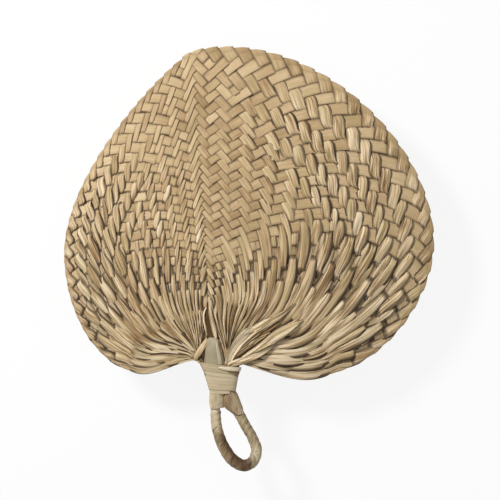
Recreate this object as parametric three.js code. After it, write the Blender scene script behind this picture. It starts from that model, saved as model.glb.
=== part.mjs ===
// Hand fan woven from flat leaf strips, with a bound neck and a wrapped loop handle.
// Millimetres. The fan lies on its back: +Z is the front, +Y runs from the loop to the tip,
// and the origin is on the flat back of the neck binding.

import * as THREE from 'three';

// Weave of the blade
const stripsPerSide = 12;
const stripThickness = 0.8;
const stripFill = 0.8;             // strip width as a share of the pitch of the weave
const weaveGap = 0.45;             // clear space between strips where they cross
const twillFloat = 2;              // strips passed over, then under
const crownHeight = 11;            // rise of the blade's middle above its rim
const crownCentre = new THREE.Vector2(19, 133);
const crownReach = new THREE.Vector2(155, 143);
const rimClearance = 0.1;          // lowest strip above the table
const neckBlend = 34;              // distance over which the blade rises to the height of the neck

// Outline of the blade: tip, widest points and lower lobes
const tip = new THREE.Vector2(-25, 266);
const spineFoot = new THREE.Vector2(-12, 61);
const spineEase = 0.62;            // pitch at the foot of the spine as a share of the mean pitch
const rightReach = 172;
const rightReachHeight = 110;
const rightLobe = new THREE.Vector2(92, 5);
const leftReach = 128;
const leftReachHeight = 101;
const leftLobe = new THREE.Vector2(-77, 7);

// Neck: leaf binding wound on the bundle of strip ends
const neckLength = 24;
const mouthWidth = 32;
const mouthDepth = 14;
const footWidth = 20;
const footDepth = 12;
const backFlat = 1.05;             // how far the round section is drawn past the back, then cut flat
const bindingThickness = 0.9;
const bindingTurns = 5;
const bindingGap = 0.5;            // clear space between turns
const seatGap = 0.3;               // between pieces that bear on each other

// Gathered strip ends above the neck, and the leaves that lie on them
const gatherHeight = 4.5;          // centre of the gather above the mouth
const rightGatherX = 11;
const rightGatherRadius = 13;
const leftGatherX = -12;
const leftGatherRadius = 11;
const gatherMouthDepth = 6;
const gatherRimDepth = 2.4;
const gatherMiddle = 0.6;          // half the space between the two gathers at the mouth
const gatherInset = 2;             // from the inside of the mouth to the gathers' outer corners
const bladeFlexGap = 0.5;          // lets the blade tilt at the mouth
const tongueWidth = 15;
const tongueLength = 21;
const tongueX = -6;
const tonguePointLength = 6;
const leafThickness = 0.8;
const bunchWidth = 10;
const bunchLength = 42;
const bunchAngle = 48;             // degrees from +X
const bunchOffset = 2;             // foot of the bunch to the right of the gather's centre

// Loop handle
const loopCoreRadius = 2.9;
const wrapThickness = 0.7;
const wrapSeat = 0.5;              // between the core and its wrap, whose turns lie in straight stretches
const wrapTurns = 16;
const wrapGap = 0.9;
const loopFlexGap = 0.65;          // lets the loop tilt at the foot of the neck
const wrapSetBack = 0.3;           // each cover starts this much further down the leg than what it covers
const sleeveLength = 12.5;
const rootTurns = 3;
const rootGap = 0.7;
const loopRoute = [[-4, 0], [-5, 17], [-3.4, 30], [1.5, 43], [8.5, 53], [17.5, 58], [25.2, 54.5],
  [28, 46], [25.6, 37], [20, 27], [14, 16], [9.5, 7], [8, 0]]; // x, and drop below the foot of the neck

const dryLeaf = 0xb5996f;
const paleLeaf = 0xb2a081;
const greyLeaf = 0x999075;
const innerLeaf = 0x8a7048;
const leafRoughness = 0.75;

const weaveRise = (stripThickness + weaveGap) / 2;
const rimHeight = weaveRise + stripThickness / 2 + rimClearance;
const mouthY = neckLength / 2;
const neckZ = mouthDepth / 2;
const fan = new THREE.Group();

function addPiece(name, geometry, colour) {
  const material = new THREE.MeshStandardMaterial({ color: colour, roughness: leafRoughness, metalness: 0 });
  const mesh = new THREE.Mesh(geometry, material);
  mesh.name = name;
  fan.add(mesh);
}

// Closed solid through a row of rings, each with the same number of points.
// A closed row joins its last ring to its first, and an open row has a cap at each end.
function loft(rings, closed = false) {
  const count = rings[0].length;
  const points = rings.flat();
  const faces = [];
  const spans = closed ? rings.length : rings.length - 1;
  for (let r = 0; r < spans; r++) {
    const here = r * count;
    const there = ((r + 1) % rings.length) * count;
    for (let k = 0; k < count; k++) {
      const next = (k + 1) % count;
      faces.push([here + k, here + next, there + next], [here + k, there + next, there + k]);
    }
  }
  const end = points.length - count;
  for (let k = 1; k < count - 1 && !closed; k++) {
    faces.push([0, k + 1, k], [end, end + k, end + k + 1]);
  }
  let volume = 0;
  for (const [a, b, c] of faces) {
    volume += points[a].dot(points[b].clone().cross(points[c]));
  }
  const geometry = new THREE.BufferGeometry();
  geometry.setFromPoints(points);
  geometry.setIndex((volume < 0 ? faces.map(([a, b, c]) => [a, c, b]) : faces).flat());
  return geometry;
}

// Height of the blade's middle surface: a shallow dome that meets the neck at its own height
function bladeHeight(x, y) {
  const across = (x - crownCentre.x) / crownReach.x;
  const along = (y - crownCentre.y) / crownReach.y;
  const dome = rimHeight + crownHeight * Math.max(0, 1 - across * across - along * along);
  const nearNeck = Math.exp(-(x * x + (y - mouthY) ** 2) / neckBlend ** 2);
  return THREE.MathUtils.lerp(dome, neckZ, nearNeck);
}

// One half of the blade. Its rows are arches from the spine (along = 0) to the rim (along = 1),
// and height runs from 0 at the foot of the spine to 1 at the tip.
function makeHalf(side, shape) {
  const rim = new THREE.CurvePath();
  const v3 = (p) => new THREE.Vector3(p.x, p.y, 0);
  const widest = new THREE.Vector2(side * shape.reach, shape.reachHeight);
  const leave = (point, handle) => v3(point).add(new THREE.Vector3(side * handle[0], handle[1], 0));
  rim.add(new THREE.CubicBezierCurve3(v3(tip), leave(tip, shape.tipHandle),
    leave(widest, shape.upperHandle), v3(widest)));
  rim.add(new THREE.CubicBezierCurve3(v3(widest), leave(widest, shape.lowerHandle),
    leave(shape.lobe, shape.lobeHandle), v3(shape.lobe)));
  const gather = new THREE.Vector3(shape.gatherX, mouthY + gatherHeight, 0);

  function row(height) {
    const way = (1 - height) ** shape.rimEase;
    const start = v3(spineFoot).lerp(v3(tip), height * (spineEase + (1 - spineEase) * height));
    const end = rim.getPointAt(way);
    const low = (1 - height) ** 2;
    const rise = THREE.MathUtils.degToRad(shape.rise - shape.riseDrop * low * (1 - height));
    const turn = THREE.MathUtils.degToRad(shape.rimTurn + shape.rimTurnGain * low);
    const chord = start.distanceTo(end);
    const outward = new THREE.Vector3(side * Math.cos(rise), Math.sin(rise), 0);
    const arrive = rim.getTangentAt(way).applyAxisAngle(new THREE.Vector3(0, 0, 1), side * turn);
    const pull = THREE.MathUtils.lerp(shape.footPull, shape.tipPull, height);
    return new THREE.CubicBezierCurve3(start, start.clone().addScaledVector(outward, pull * chord),
      end.clone().addScaledVector(arrive, -pull * chord), end);
  }

  // A strip end, from the lowest row (way = 0) to the gather above the neck (way = 1)
  function tail(along, way, radius) {
    const start = row(0).getPoint(along);
    const heading = start.clone().sub(row(shape.headingStep).getPoint(along)).normalize();
    const sag = THREE.MathUtils.degToRad(shape.lobeSag) * along ** 2;
    heading.applyAxisAngle(new THREE.Vector3(0, 0, 1), side * sag);
    const angle = THREE.MathUtils.degToRad(THREE.MathUtils.lerp(shape.gatherFrom, shape.gatherTo, along));
    const spoke = new THREE.Vector3(Math.cos(angle), Math.sin(angle), 0);
    const end = gather.clone().addScaledVector(spoke, radius);
    const pull = shape.tailPull * start.distanceTo(end);
    return new THREE.CubicBezierCurve3(start, start.clone().addScaledVector(heading, pull),
      end.clone().addScaledVector(spoke, pull), end).getPoint(way);
  }
  return { row, tail, gather, shape };
}

const sharedShape = { tailPull: 0.36, headingStep: 0.01 };
const rightHalf = makeHalf(1, {
  ...sharedShape, reach: rightReach, reachHeight: rightReachHeight, lobe: rightLobe,
  tipHandle: [93, 22], upperHandle: [0, 84], lowerHandle: [0, -44], lobeHandle: [42, 9],
  rimEase: 1.12, rise: 43, riseDrop: 30, rimTurn: 40, rimTurnGain: 18, footPull: 0.41, tipPull: 0.33,
  gatherX: rightGatherX, gatherFrom: 112, gatherTo: -20, lobeSag: 18, gatherRadius: rightGatherRadius,
});
const leftHalf = makeHalf(-1, {
  ...sharedShape, reach: leftReach, reachHeight: leftReachHeight, lobe: leftLobe,
  tipHandle: [37, -28], upperHandle: [0, 59], lowerHandle: [0, -41], lobeHandle: [31, 11],
  rimEase: 1.06, rise: 29, riseDrop: 27, rimTurn: 40, rimTurnGain: 15, footPull: 0.36, tipPull: 0.33,
  gatherX: leftGatherX, gatherFrom: 68, gatherTo: 196, lobeSag: 12, gatherRadius: leftGatherRadius,
});

// Place of the weave's grid point (u, v). The spine is u = v, the rim u + v = 2 * stripsPerSide, and
// a negative v or u runs down the strip ends of the left or the right half.
function place(u, v) {
  const half = v >= u ? rightHalf : leftHalf;
  const [row, cross] = v >= u ? [u, v] : [v, u];
  const radius = half.shape.gatherRadius + seatGap;
  if (row < 0) {
    return half.tail(cross / (2 * stripsPerSide), -row, radius);
  }
  return half.row(row / stripsPerSide).getPoint((cross - row) / (2 * (stripsPerSide - row)));
}

// True where the strip of constant u lies over the strip of constant v
function uIsOver(u, v) {
  if (u === v) {
    return true;
  }
  const onRight = v > u;
  const inner = Math.max(u, v) < stripsPerSide;
  const count = inner ? Math.abs(v - u) : 2 * stripsPerSide - u - v;
  const early = (count - 1) % (2 * twillFloat) < twillFloat;
  return inner ? early !== onRight : early === onRight;
}

// One strip: up from the left gather at constant u, folded back at the rim, and down to the right
// gather at constant v. Each ring has the strip's two edges, first its upper face, then its lower one.
const tailStations = [1, 0.55, 0.15];
const foldNose = weaveRise + stripThickness / 2;
const foldHollow = weaveRise - stripThickness / 2;

function stripRings(number) {
  const u = number - 0.5;
  const v = 2 * stripsPerSide - u;
  const edge = stripFill / 2;
  const rings = [];

  function addRing(first, second, level, face, nose = [0, 0]) {
    const ends = [place(...first), place(...second)];
    const away = ends[1].clone().sub(ends[0]).normalize();
    const outward = new THREE.Vector3(-away.y, away.x, 0);
    if (outward.dot(ends[0].clone().sub(new THREE.Vector3(crownCentre.x, crownCentre.y, 0))) < 0) {
      outward.negate();
    }
    const corner = (end, sign, reach) => new THREE.Vector3(end.x, end.y,
      bladeHeight(end.x, end.y) + level * weaveRise + sign * stripThickness / 2).addScaledVector(outward, reach);
    rings.push([corner(ends[0], face, nose[0]), corner(ends[1], face, nose[0]),
      corner(ends[1], -face, nose[1]), corner(ends[0], -face, nose[1])]);
  }

  const across = (along) => [[u - edge, along], [u + edge, along]];
  const back = (along) => [[along, v + edge], [along, v - edge]];
  for (const way of tailStations) {
    addRing(...across(-way), 0, 1);
  }
  let level = 1;
  for (let centre = 0.5; centre < v; centre++) {
    level = uIsOver(u, centre) ? 1 : -1;
    addRing(...across(centre - edge), level, 1);
    addRing(...across(centre + edge), level, 1);
  }
  const fold = [[u - edge, v + edge], [u + edge, v - edge]];
  addRing(...fold, level, 1);
  addRing(...fold, 0, 0, level > 0 ? [foldNose, foldHollow] : [foldHollow, foldNose]);
  addRing(...fold, -level, -1);
  for (let centre = u - 1; centre > 0; centre--) {
    level = uIsOver(centre, v) ? -1 : 1;
    addRing(...back(centre + edge), level, -1);
    addRing(...back(centre - edge), level, -1);
  }
  for (const way of tailStations.toReversed()) {
    addRing(...back(-way), 0, -1);
  }
  return rings;
}

for (let number = 1; number <= 2 * stripsPerSide; number++) {
  const onRight = number <= stripsPerSide;
  const row = onRight ? number : 2 * stripsPerSide + 1 - number;
  const name = `${onRight ? 'right' : 'left'}_strip_${String(row).padStart(2, '0')}`;
  addPiece(name, loft(stripRings(number)), dryLeaf);
}

// Pinched wedge of strip ends between a half's gather and the mouth of the neck
const gatherSteps = 8;

function gatherSolid(half, mouthFrom, mouthTo) {
  const rings = [];
  const mouthLine = mouthY + bladeFlexGap;
  for (let k = 0; k <= gatherSteps; k++) {
    const share = k / gatherSteps;
    const angle = THREE.MathUtils.degToRad(THREE.MathUtils.lerp(half.shape.gatherFrom, half.shape.gatherTo, share));
    const x = half.gather.x + half.shape.gatherRadius * Math.cos(angle);
    const y = half.gather.y + half.shape.gatherRadius * Math.sin(angle);
    const z = bladeHeight(x, y);
    const mouthX = THREE.MathUtils.lerp(mouthFrom, mouthTo, share);
    rings.push([new THREE.Vector3(x, y, z + gatherRimDepth / 2), new THREE.Vector3(x, y, z - gatherRimDepth / 2),
      new THREE.Vector3(mouthX, mouthLine, neckZ - gatherMouthDepth / 2),
      new THREE.Vector3(mouthX, mouthLine, neckZ + gatherMouthDepth / 2)]);
  }
  return loft(rings);
}

const gatherCorner = mouthWidth / 2 - bindingThickness - gatherInset;
addPiece('right_gather', gatherSolid(rightHalf, gatherMiddle, gatherCorner), dryLeaf);
addPiece('left_gather', gatherSolid(leftHalf, -gatherMiddle, -gatherCorner), dryLeaf);

// Flat leaf through a row of stations in plan, each with its middle, its width and the height of its back
function leafSolid(angle, stations) {
  const aside = new THREE.Vector3(-Math.sin(angle), Math.cos(angle), 0);
  const up = new THREE.Vector3(0, 0, leafThickness);
  return loft(stations.map(({ middle, width, height }) => {
    const near = middle.clone().addScaledVector(aside, width / 2).setZ(height);
    const far = middle.clone().addScaledVector(aside, -width / 2).setZ(height);
    return [near.clone().add(up), far.clone().add(up), far, near];
  }));
}

// Tongue: a stiff leaf end that stands out of the mouth in front of the gathers
const tongueHeight = neckZ + gatherMouthDepth / 2 + seatGap;
const tongueFoot = mouthY + bladeFlexGap + seatGap;
const tongueOutline = [[0, 1], [tongueLength - tonguePointLength, 1], [tongueLength - tonguePointLength / 3, 0.75],
  [tongueLength, 0.35]];           // distance up the tongue, and share of its width
addPiece('tongue', leafSolid(Math.PI / 2, tongueOutline.map(([distance, share]) => ({
  middle: new THREE.Vector3(tongueX, tongueFoot + distance, 0), width: share * tongueWidth, height: tongueHeight,
}))), greyLeaf);

// Bunch: loose leaf ends that lie over the right gather and down onto the strips
const bunchTurn = THREE.MathUtils.degToRad(bunchAngle);
const bunchFoot = new THREE.Vector3(rightGatherX + bunchOffset, mouthY + gatherHeight, 0);
const bunchOutline = [[0, 0.5, 'mouth'], [0.35, 1, gatherRimDepth], [0.75, 1, stripThickness],
  [1, 0.3, stripThickness]];       // share of the length, share of the width, depth of what lies under it
addPiece('leaf_bunch', leafSolid(bunchTurn, bunchOutline.map(([share, width, depth]) => {
  const middle = bunchFoot.clone().addScaledVector(
    new THREE.Vector3(Math.cos(bunchTurn), Math.sin(bunchTurn), 0), share * bunchLength);
  const onStrips = bladeHeight(middle.x, middle.y) + depth / 2 + seatGap;
  return { middle, width: width * bunchWidth, height: depth === 'mouth' ? tongueHeight : onStrips };
})), paleLeaf);

// Section of the neck at height y, drawn in by an inset: round at the front and flat at the back
function neckPoint(y, angle, inset) {
  const share = (mouthY - y) / neckLength;
  const halfWidth = THREE.MathUtils.lerp(mouthWidth, footWidth, share) / 2 - inset;
  const middle = THREE.MathUtils.lerp(mouthDepth, footDepth, share) / 2;
  const z = middle + (middle - inset) * backFlat * Math.sin(angle);
  return new THREE.Vector3(halfWidth * Math.cos(angle), y, Math.max(z, inset));
}

const coreSides = 20;
const coreInset = bindingThickness + seatGap;
const coreRings = [mouthY, -mouthY].map((y) => Array.from({ length: coreSides },
  (_, k) => neckPoint(y, 2 * Math.PI * k / coreSides, coreInset)));
addPiece('neck_core', loft(coreRings), innerLeaf);

// Least distance between rings of a winding that lie more than half a turn apart
function leastGap(rings, stepsPerTurn) {
  let least = Infinity;
  for (let a = 0; a < rings.length; a++) {
    for (let b = a + Math.ceil(stepsPerTurn / 2) + 1; b < rings.length; b++) {
      for (const p of rings[a]) {
        for (const q of rings[b]) {
          least = Math.min(least, p.distanceTo(q));
        }
      }
    }
  }
  return least;
}

function addWinding(name, rings, stepsPerTurn, colour) {
  console.log(`${name}: least gap between turns ${leastGap(rings, stepsPerTurn).toFixed(2)} mm`);
  addPiece(name, loft(rings), colour);
}

// Neck binding: one leaf wound round the bundle from the mouth down to the foot
const bindingSteps = 20;
const bindingPitch = (neckLength + bindingGap) / (bindingTurns + 1);
const bindingWidth = bindingPitch - bindingGap;
const bindingRings = [];
for (let k = 0; k <= bindingTurns * bindingSteps; k++) {
  const angle = Math.PI - 2 * Math.PI * k / bindingSteps;
  const top = mouthY - bindingPitch * k / bindingSteps;
  const low = top - bindingWidth;
  bindingRings.push([neckPoint(top, angle, 0), neckPoint(low, angle, 0),
    neckPoint(low, angle, bindingThickness), neckPoint(top, angle, bindingThickness)]);
}
addWinding('neck_binding', bindingRings, bindingSteps, paleLeaf);

// Loop handle: a core bent into a teardrop, wrapped in leaf
const loopZ = footDepth / 2;
const loopPoints = loopRoute.map(([x, drop]) => new THREE.Vector3(x, -mouthY - loopFlexGap - drop, loopZ));
const loopCurve = new THREE.CatmullRomCurve3(loopPoints, false, 'centripetal');
loopCurve.arcLengthDivisions = 600;
const loopLength = loopCurve.getLength();

// Point at a distance along the loop, off its middle line by a radius at an angle
function loopPoint(distance, angle, radius) {
  const share = THREE.MathUtils.clamp(distance / loopLength, 0, 1);
  const tangent = loopCurve.getTangentAt(share);
  const inPlane = new THREE.Vector3(-tangent.y, tangent.x, 0);
  return loopCurve.getPointAt(share).addScaledVector(inPlane, radius * Math.cos(angle))
    .add(new THREE.Vector3(0, 0, radius * Math.sin(angle)));
}

const loopSides = 8;
const loopSteps = 44;
const loopRings = Array.from({ length: loopSteps + 1 }, (_, k) => Array.from({ length: loopSides },
  (__, s) => loopPoint(loopLength * k / loopSteps, 2 * Math.PI * s / loopSides, loopCoreRadius)));
addPiece('loop_core', loft(loopRings), innerLeaf);

function windLoop(from, to, turns, gap, steps, inner, outer) {
  const pitch = (to - from + gap) / (turns + 1);
  const width = pitch - gap;
  return Array.from({ length: turns * steps + 1 }, (_, k) => {
    const start = from + pitch * k / steps;
    const angle = 2 * Math.PI * k / steps;
    const stations = [start, start + width / 2, start + width];
    return [...stations.map((distance) => loopPoint(distance, angle, outer)),
      ...stations.toReversed().map((distance) => loopPoint(distance, angle, inner))];
  });
}

const wrapSteps = 10;
const wrapInner = loopCoreRadius + wrapSeat;
const wrapOuter = wrapInner + wrapThickness;
const wrapRings = windLoop(wrapSetBack, loopLength - wrapSetBack, wrapTurns, wrapGap, wrapSteps, wrapInner, wrapOuter);
addWinding('loop_wrap', wrapRings, wrapSteps, paleLeaf);

// Sleeve: one leaf rolled round the left leg under the neck
const sleeveSides = 16;
const sleeveSteps = 3;
const coverInner = wrapOuter + seatGap;
const coverOuter = coverInner + wrapThickness;
const coverStart = 2 * wrapSetBack;
const sleeveRing = (step, radius) => Array.from({ length: sleeveSides }, (_, s) => loopPoint(
  coverStart + sleeveLength * step / sleeveSteps, 2 * Math.PI * s / sleeveSides, radius));
const sleeveRings = [];
for (let step = 0; step <= sleeveSteps; step++) {
  sleeveRings.push(sleeveRing(step, coverOuter));
}
for (let step = sleeveSteps; step >= 0; step--) {
  sleeveRings.push(sleeveRing(step, coverInner));
}
addPiece('leg_sleeve', loft(sleeveRings, true), greyLeaf);

// Root wrap: a second leaf wound round the right leg under the neck
const rootSteps = 16;
const rootRings = windLoop(loopLength - coverStart - sleeveLength, loopLength - coverStart, rootTurns, rootGap,
  rootSteps, coverInner, coverOuter);
addWinding('root_wrap', rootRings, rootSteps, paleLeaf);

export default fan;
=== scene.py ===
import math
import bpy
import numpy as np
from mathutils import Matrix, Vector


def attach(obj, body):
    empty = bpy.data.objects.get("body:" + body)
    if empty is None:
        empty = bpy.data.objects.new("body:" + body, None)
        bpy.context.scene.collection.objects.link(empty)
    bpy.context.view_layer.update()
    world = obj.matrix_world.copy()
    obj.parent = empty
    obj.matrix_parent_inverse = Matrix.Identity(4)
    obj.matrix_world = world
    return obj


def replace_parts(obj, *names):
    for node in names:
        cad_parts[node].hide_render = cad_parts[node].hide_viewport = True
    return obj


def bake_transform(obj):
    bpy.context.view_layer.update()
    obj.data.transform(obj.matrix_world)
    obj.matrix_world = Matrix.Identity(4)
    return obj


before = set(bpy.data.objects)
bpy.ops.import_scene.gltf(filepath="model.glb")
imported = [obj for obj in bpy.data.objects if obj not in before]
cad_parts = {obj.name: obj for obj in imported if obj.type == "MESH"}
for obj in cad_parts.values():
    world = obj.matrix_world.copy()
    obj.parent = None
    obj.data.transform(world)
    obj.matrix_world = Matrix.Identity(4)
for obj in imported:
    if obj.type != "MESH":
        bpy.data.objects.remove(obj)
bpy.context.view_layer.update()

bpy.context.scene.view_settings.view_transform = "Standard"
mm = 0.001  # every size below is in millimetres, the frame is in metres
chance = np.random.default_rng(48)


# small sums on numbers and arrays of points
def mix(first, second, share):
    return first + (second - first) * share


def ease(share):
    share = np.clip(share, 0, 1)
    return share * share * (3 - 2 * share)


def unit(vectors):
    return vectors / (np.linalg.norm(vectors, axis=-1, keepdims=True) + 1e-9)


def turned(vectors, angle):
    c, s = np.cos(angle), np.sin(angle)
    x, y = vectors[..., 0], vectors[..., 1]
    return np.stack([x * c - y * s, x * s + y * c], -1)


def cubic(points, way):
    t = np.asarray(way)[..., None]
    a, b, c, d = points
    return a * (1 - t) ** 3 + 3 * b * t * (1 - t) ** 2 + 3 * c * t * t * (1 - t) + d * t ** 3


def wander(count, spacing):  # slow random drift between -1 and 1
    knots = chance.uniform(-1, 1, int(count / spacing) + 4)
    spot = np.arange(count) / spacing
    low = spot.astype(int)
    return mix(knots[low], knots[low + 1], ease(spot - low))


def smoothed(grid, passes):
    for _ in range(passes):
        grid[1:-1] = grid[:-2] * 0.25 + grid[1:-1] * 0.5 + grid[2:] * 0.25
    return grid


# the camera looks straight down on the fan, and the picture is 500 x 500 pixels
photoView = {"mmPerPixel": 0.8152, "neckPixel": (222, 378), "picture": 500, "lens": 105, "sensor": 36}


def fromPixel(x, y):
    scale, neck = photoView["mmPerPixel"], photoView["neckPixel"]
    return np.array([(x - neck[0]) * scale, (neck[1] - y) * scale])


def makeCamera():
    camera = bpy.data.objects.new("camera", bpy.data.cameras.new("camera"))
    camera.data.lens = photoView["lens"]
    camera.data.sensor_width = photoView["sensor"]
    width = photoView["picture"] * photoView["mmPerPixel"]
    x, y = fromPixel(photoView["picture"] / 2, photoView["picture"] / 2)
    high = width * photoView["lens"] / photoView["sensor"] + blade["rimLift"]
    camera.location = (x * mm, y * mm, high * mm)
    bpy.context.collection.objects.link(camera)
    bpy.context.scene.camera = camera


# a socket that takes part in sums, and the one way to add a node
class Tap:
    def __init__(self, tree, socket=None):
        self.tree = tree
        self.socket = socket

    def node(self, kind, settings, values, out=0):
        made = self.tree.nodes.new(kind)
        for name, value in settings.items():
            if name == "stops":
                while len(made.color_ramp.elements) < len(value):
                    made.color_ramp.elements.new(0.5)
                for stop, (place, colour) in zip(made.color_ramp.elements, value):
                    stop.position = place
                    stop.color = colour
            else:
                setattr(made, name, value)
        for name, value in values.items():
            if isinstance(value, Tap):
                self.tree.links.new(value.socket, made.inputs[name])
            else:
                made.inputs[name].default_value = value
        return Tap(self.tree, made.outputs[out] if made.outputs else None)

    def other(self, out):
        return Tap(self.tree, self.socket.node.outputs[out])

    def sum(self, operation, first, second):
        return self.node("ShaderNodeMath", {"operation": operation}, {0: first, 1: second})

    def __add__(self, value):
        return self.sum("ADD", self, value)

    def __radd__(self, value):
        return self.sum("ADD", value, self)

    def __sub__(self, value):
        return self.sum("SUBTRACT", self, value)

    def __rsub__(self, value):
        return self.sum("SUBTRACT", value, self)

    def __mul__(self, value):
        return self.sum("MULTIPLY", self, value)

    def __rmul__(self, value):
        return self.sum("MULTIPLY", value, self)

    def size(self):
        return self.sum("ABSOLUTE", self, 0)

    def between(self, low, high):  # 0 at low, 1 at high, smooth
        values = {"Value": self, "From Min": low, "From Max": high}
        return self.node("ShaderNodeMapRange", {"interpolation_type": "SMOOTHSTEP"}, values)

    def stretched(self, across, along):  # a vector times two scales
        values = {0: self, 1: (across, along, 1)}
        return self.node("ShaderNodeVectorMath", {"operation": "MULTIPLY"}, values)

    def noise(self, detail, roughness=0.5):
        values = {"Vector": self, "Scale": 1, "Detail": detail, "Roughness": roughness}
        return self.node("ShaderNodeTexNoise", {"noise_dimensions": "2D"}, values)

    def tinted(self, colour, share):  # this colour, mixed with another one
        settings = {"data_type": "RGBA"}
        return self.node("ShaderNodeMix", settings, {0: share, 6: self, 7: colour}, out=2)


def blankTree(owner):  # an empty node tree to tap
    owner.use_nodes = True
    owner.node_tree.nodes.clear()
    return Tap(owner.node_tree)


def linear(red, green, blue):  # a colour of the screen as Blender counts it
    shares = [c / 255 for c in (red, green, blue)]
    return tuple(c / 12.92 if c < 0.0405 else ((c + 0.055) / 1.055) ** 2.4 for c in shares) + (1,)


# dry leaf: painted by each strip's tone, with fibres that run along the leaf; dark is the colour that
# painted shade mixes in
stripLeaf = {
    "stops": [(0, (116, 86, 52)), (0.3, (166, 137, 97)), (0.52, (193, 165, 124)),
              (0.75, (213, 188, 148)), (1, (232, 212, 178))],
    "dark": (52, 32, 15), "stain": (140, 86, 44), "cool": (176, 158, 108),
    "fibre": 0.34, "streak": 0.8, "blotch": 0.28, "crease": 0.62, "roughness": 0.62, "bump": 0.5}
paleLeaf = {
    "stops": [(0, (128, 105, 74)), (0.3, (168, 148, 115)), (0.52, (194, 176, 143)),
              (0.75, (212, 196, 164)), (1, (232, 218, 190))],
    "dark": (74, 52, 30), "stain": (120, 82, 48), "cool": (168, 158, 124),
    "fibre": 0.22, "streak": 0.4, "blotch": 0.34, "crease": 0.3, "roughness": 0.58, "bump": 0.4}
greyLeaf = {
    "stops": [(0, (112, 99, 76)), (0.3, (144, 131, 106)), (0.52, (167, 154, 127)),
              (0.75, (184, 171, 143)), (1, (206, 193, 164))],
    "dark": (70, 54, 34), "stain": (120, 96, 62), "cool": (150, 146, 118),
    "fibre": 0.2, "streak": 0.3, "blotch": 0.3, "crease": 0.3, "roughness": 0.55, "bump": 0.35}
innerLeaf = {
    "stops": [(0, (82, 58, 32)), (0.3, (118, 90, 56)), (0.52, (146, 116, 78)),
              (0.75, (170, 140, 98)), (1, (196, 168, 126))],
    "dark": (40, 25, 12), "stain": (96, 60, 32), "cool": (120, 100, 66),
    "fibre": 0.3, "streak": 0.4, "blotch": 0.3, "crease": 0.4, "roughness": 0.7, "bump": 0.5}
leafGrain = {
    # noise scales across and along the leaf
    "fibre": (2.3, 0.06), "streak": (0.75, 0.022), "blotch": (0.16, 0.07), "crease": (0.4, 0.016),
    "cool": (0.06, 0.02), "fleck": (0.5, 0.1),
    # where the noise shows, and how much of it
    "creaseWidth": 0.11, "creaseLevel": 0.66, "coolRange": (0.5, 0.66), "coolShare": 0.3,
    "fleckRange": (0.62, 0.74), "fleckShare": 0.35, "stainShare": 0.75,
    "flatStreak": 0.35, "bumpDepth": 0.25, "creaseDepth": 0.6, "dull": 0.3, "shine": 0.32}


def leafFinish(name, look):
    finish = bpy.data.materials.new(name)
    start = blankTree(finish)
    uv = start.node("ShaderNodeUVMap", {"uv_map": "leafUv"}, {})
    paint = start.node("ShaderNodeAttribute", {"attribute_name": "leaf"}, {})
    tone = start.node("ShaderNodeSeparateColor", {}, {"Color": paint})
    paintedShade, stain, crinkled = tone.other("Green"), tone.other("Blue"), paint.other("Alpha")
    grain = leafGrain
    fibre = uv.stretched(*grain["fibre"]).noise(3, 0.6)
    streak = uv.stretched(*grain["streak"]).noise(3)
    blotch = uv.stretched(*grain["blotch"]).noise(3, 0.6)
    crease = (uv.stretched(*grain["crease"]).noise(2) - 0.5).size().between(0, grain["creaseWidth"])
    streaky = grain["flatStreak"] + crinkled * (1 - grain["flatStreak"])
    shade = tone + (fibre - 0.5) * look["fibre"] + (streak - 0.5) * look["streak"] * streaky
    shade = shade + (blotch - 0.5) * look["blotch"]
    # painted shade along the crease lines, which get bumps of their own too
    shade = shade + (crease - grain["creaseLevel"]) * crinkled * look["crease"]
    stops = [(place, linear(*colour)) for place, colour in look["stops"]]
    colour = start.node("ShaderNodeValToRGB", {"stops": stops}, {"Fac": shade})
    cool = uv.stretched(*grain["cool"]).noise(2).between(*grain["coolRange"])
    colour = colour.tinted(linear(*look["cool"]), cool * grain["coolShare"])
    fleck = uv.stretched(*grain["fleck"]).noise(4, 0.65).between(*grain["fleckRange"])
    stained = (stain + fleck * grain["fleckShare"]) * grain["stainShare"]
    colour = colour.tinted(linear(*look["stain"]), stained)
    # painted shade: the colour goes towards dark where the paint's green channel says
    colour = colour.tinted(linear(*look["dark"]), paintedShade)
    height = fibre * 0.5 + streak * (0.5 + crinkled * 0.5) + crease * crinkled * grain["creaseDepth"]
    bumpValues = {"Strength": look["bump"], "Distance": grain["bumpDepth"] * mm, "Height": height}
    values = {"Base Color": colour, "Roughness": look["roughness"] + (0.5 - fibre) * grain["dull"],
              "Normal": start.node("ShaderNodeBump", {}, bumpValues), "Specular IOR Level": grain["shine"]}
    shader = start.node("ShaderNodeBsdfPrincipled", {}, values)
    start.node("ShaderNodeOutputMaterial", {}, {"Surface": shader})
    return finish


finishes = {
    "strip_leaf": leafFinish("stripLeaf", stripLeaf),
    "binding_leaf": leafFinish("paleLeaf", paleLeaf),
    "grey_leaf": leafFinish("greyLeaf", greyLeaf),
    "inner_leaf": leafFinish("innerLeaf", innerLeaf)}
print("leaf finishes made:", len(finishes))


# a leaf is a thin closed solid round a grid of points, rows along it and columns across it
def normalsOf(grid):
    return unit(np.cross(np.gradient(grid, axis=1), np.gradient(grid, axis=0)))


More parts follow.
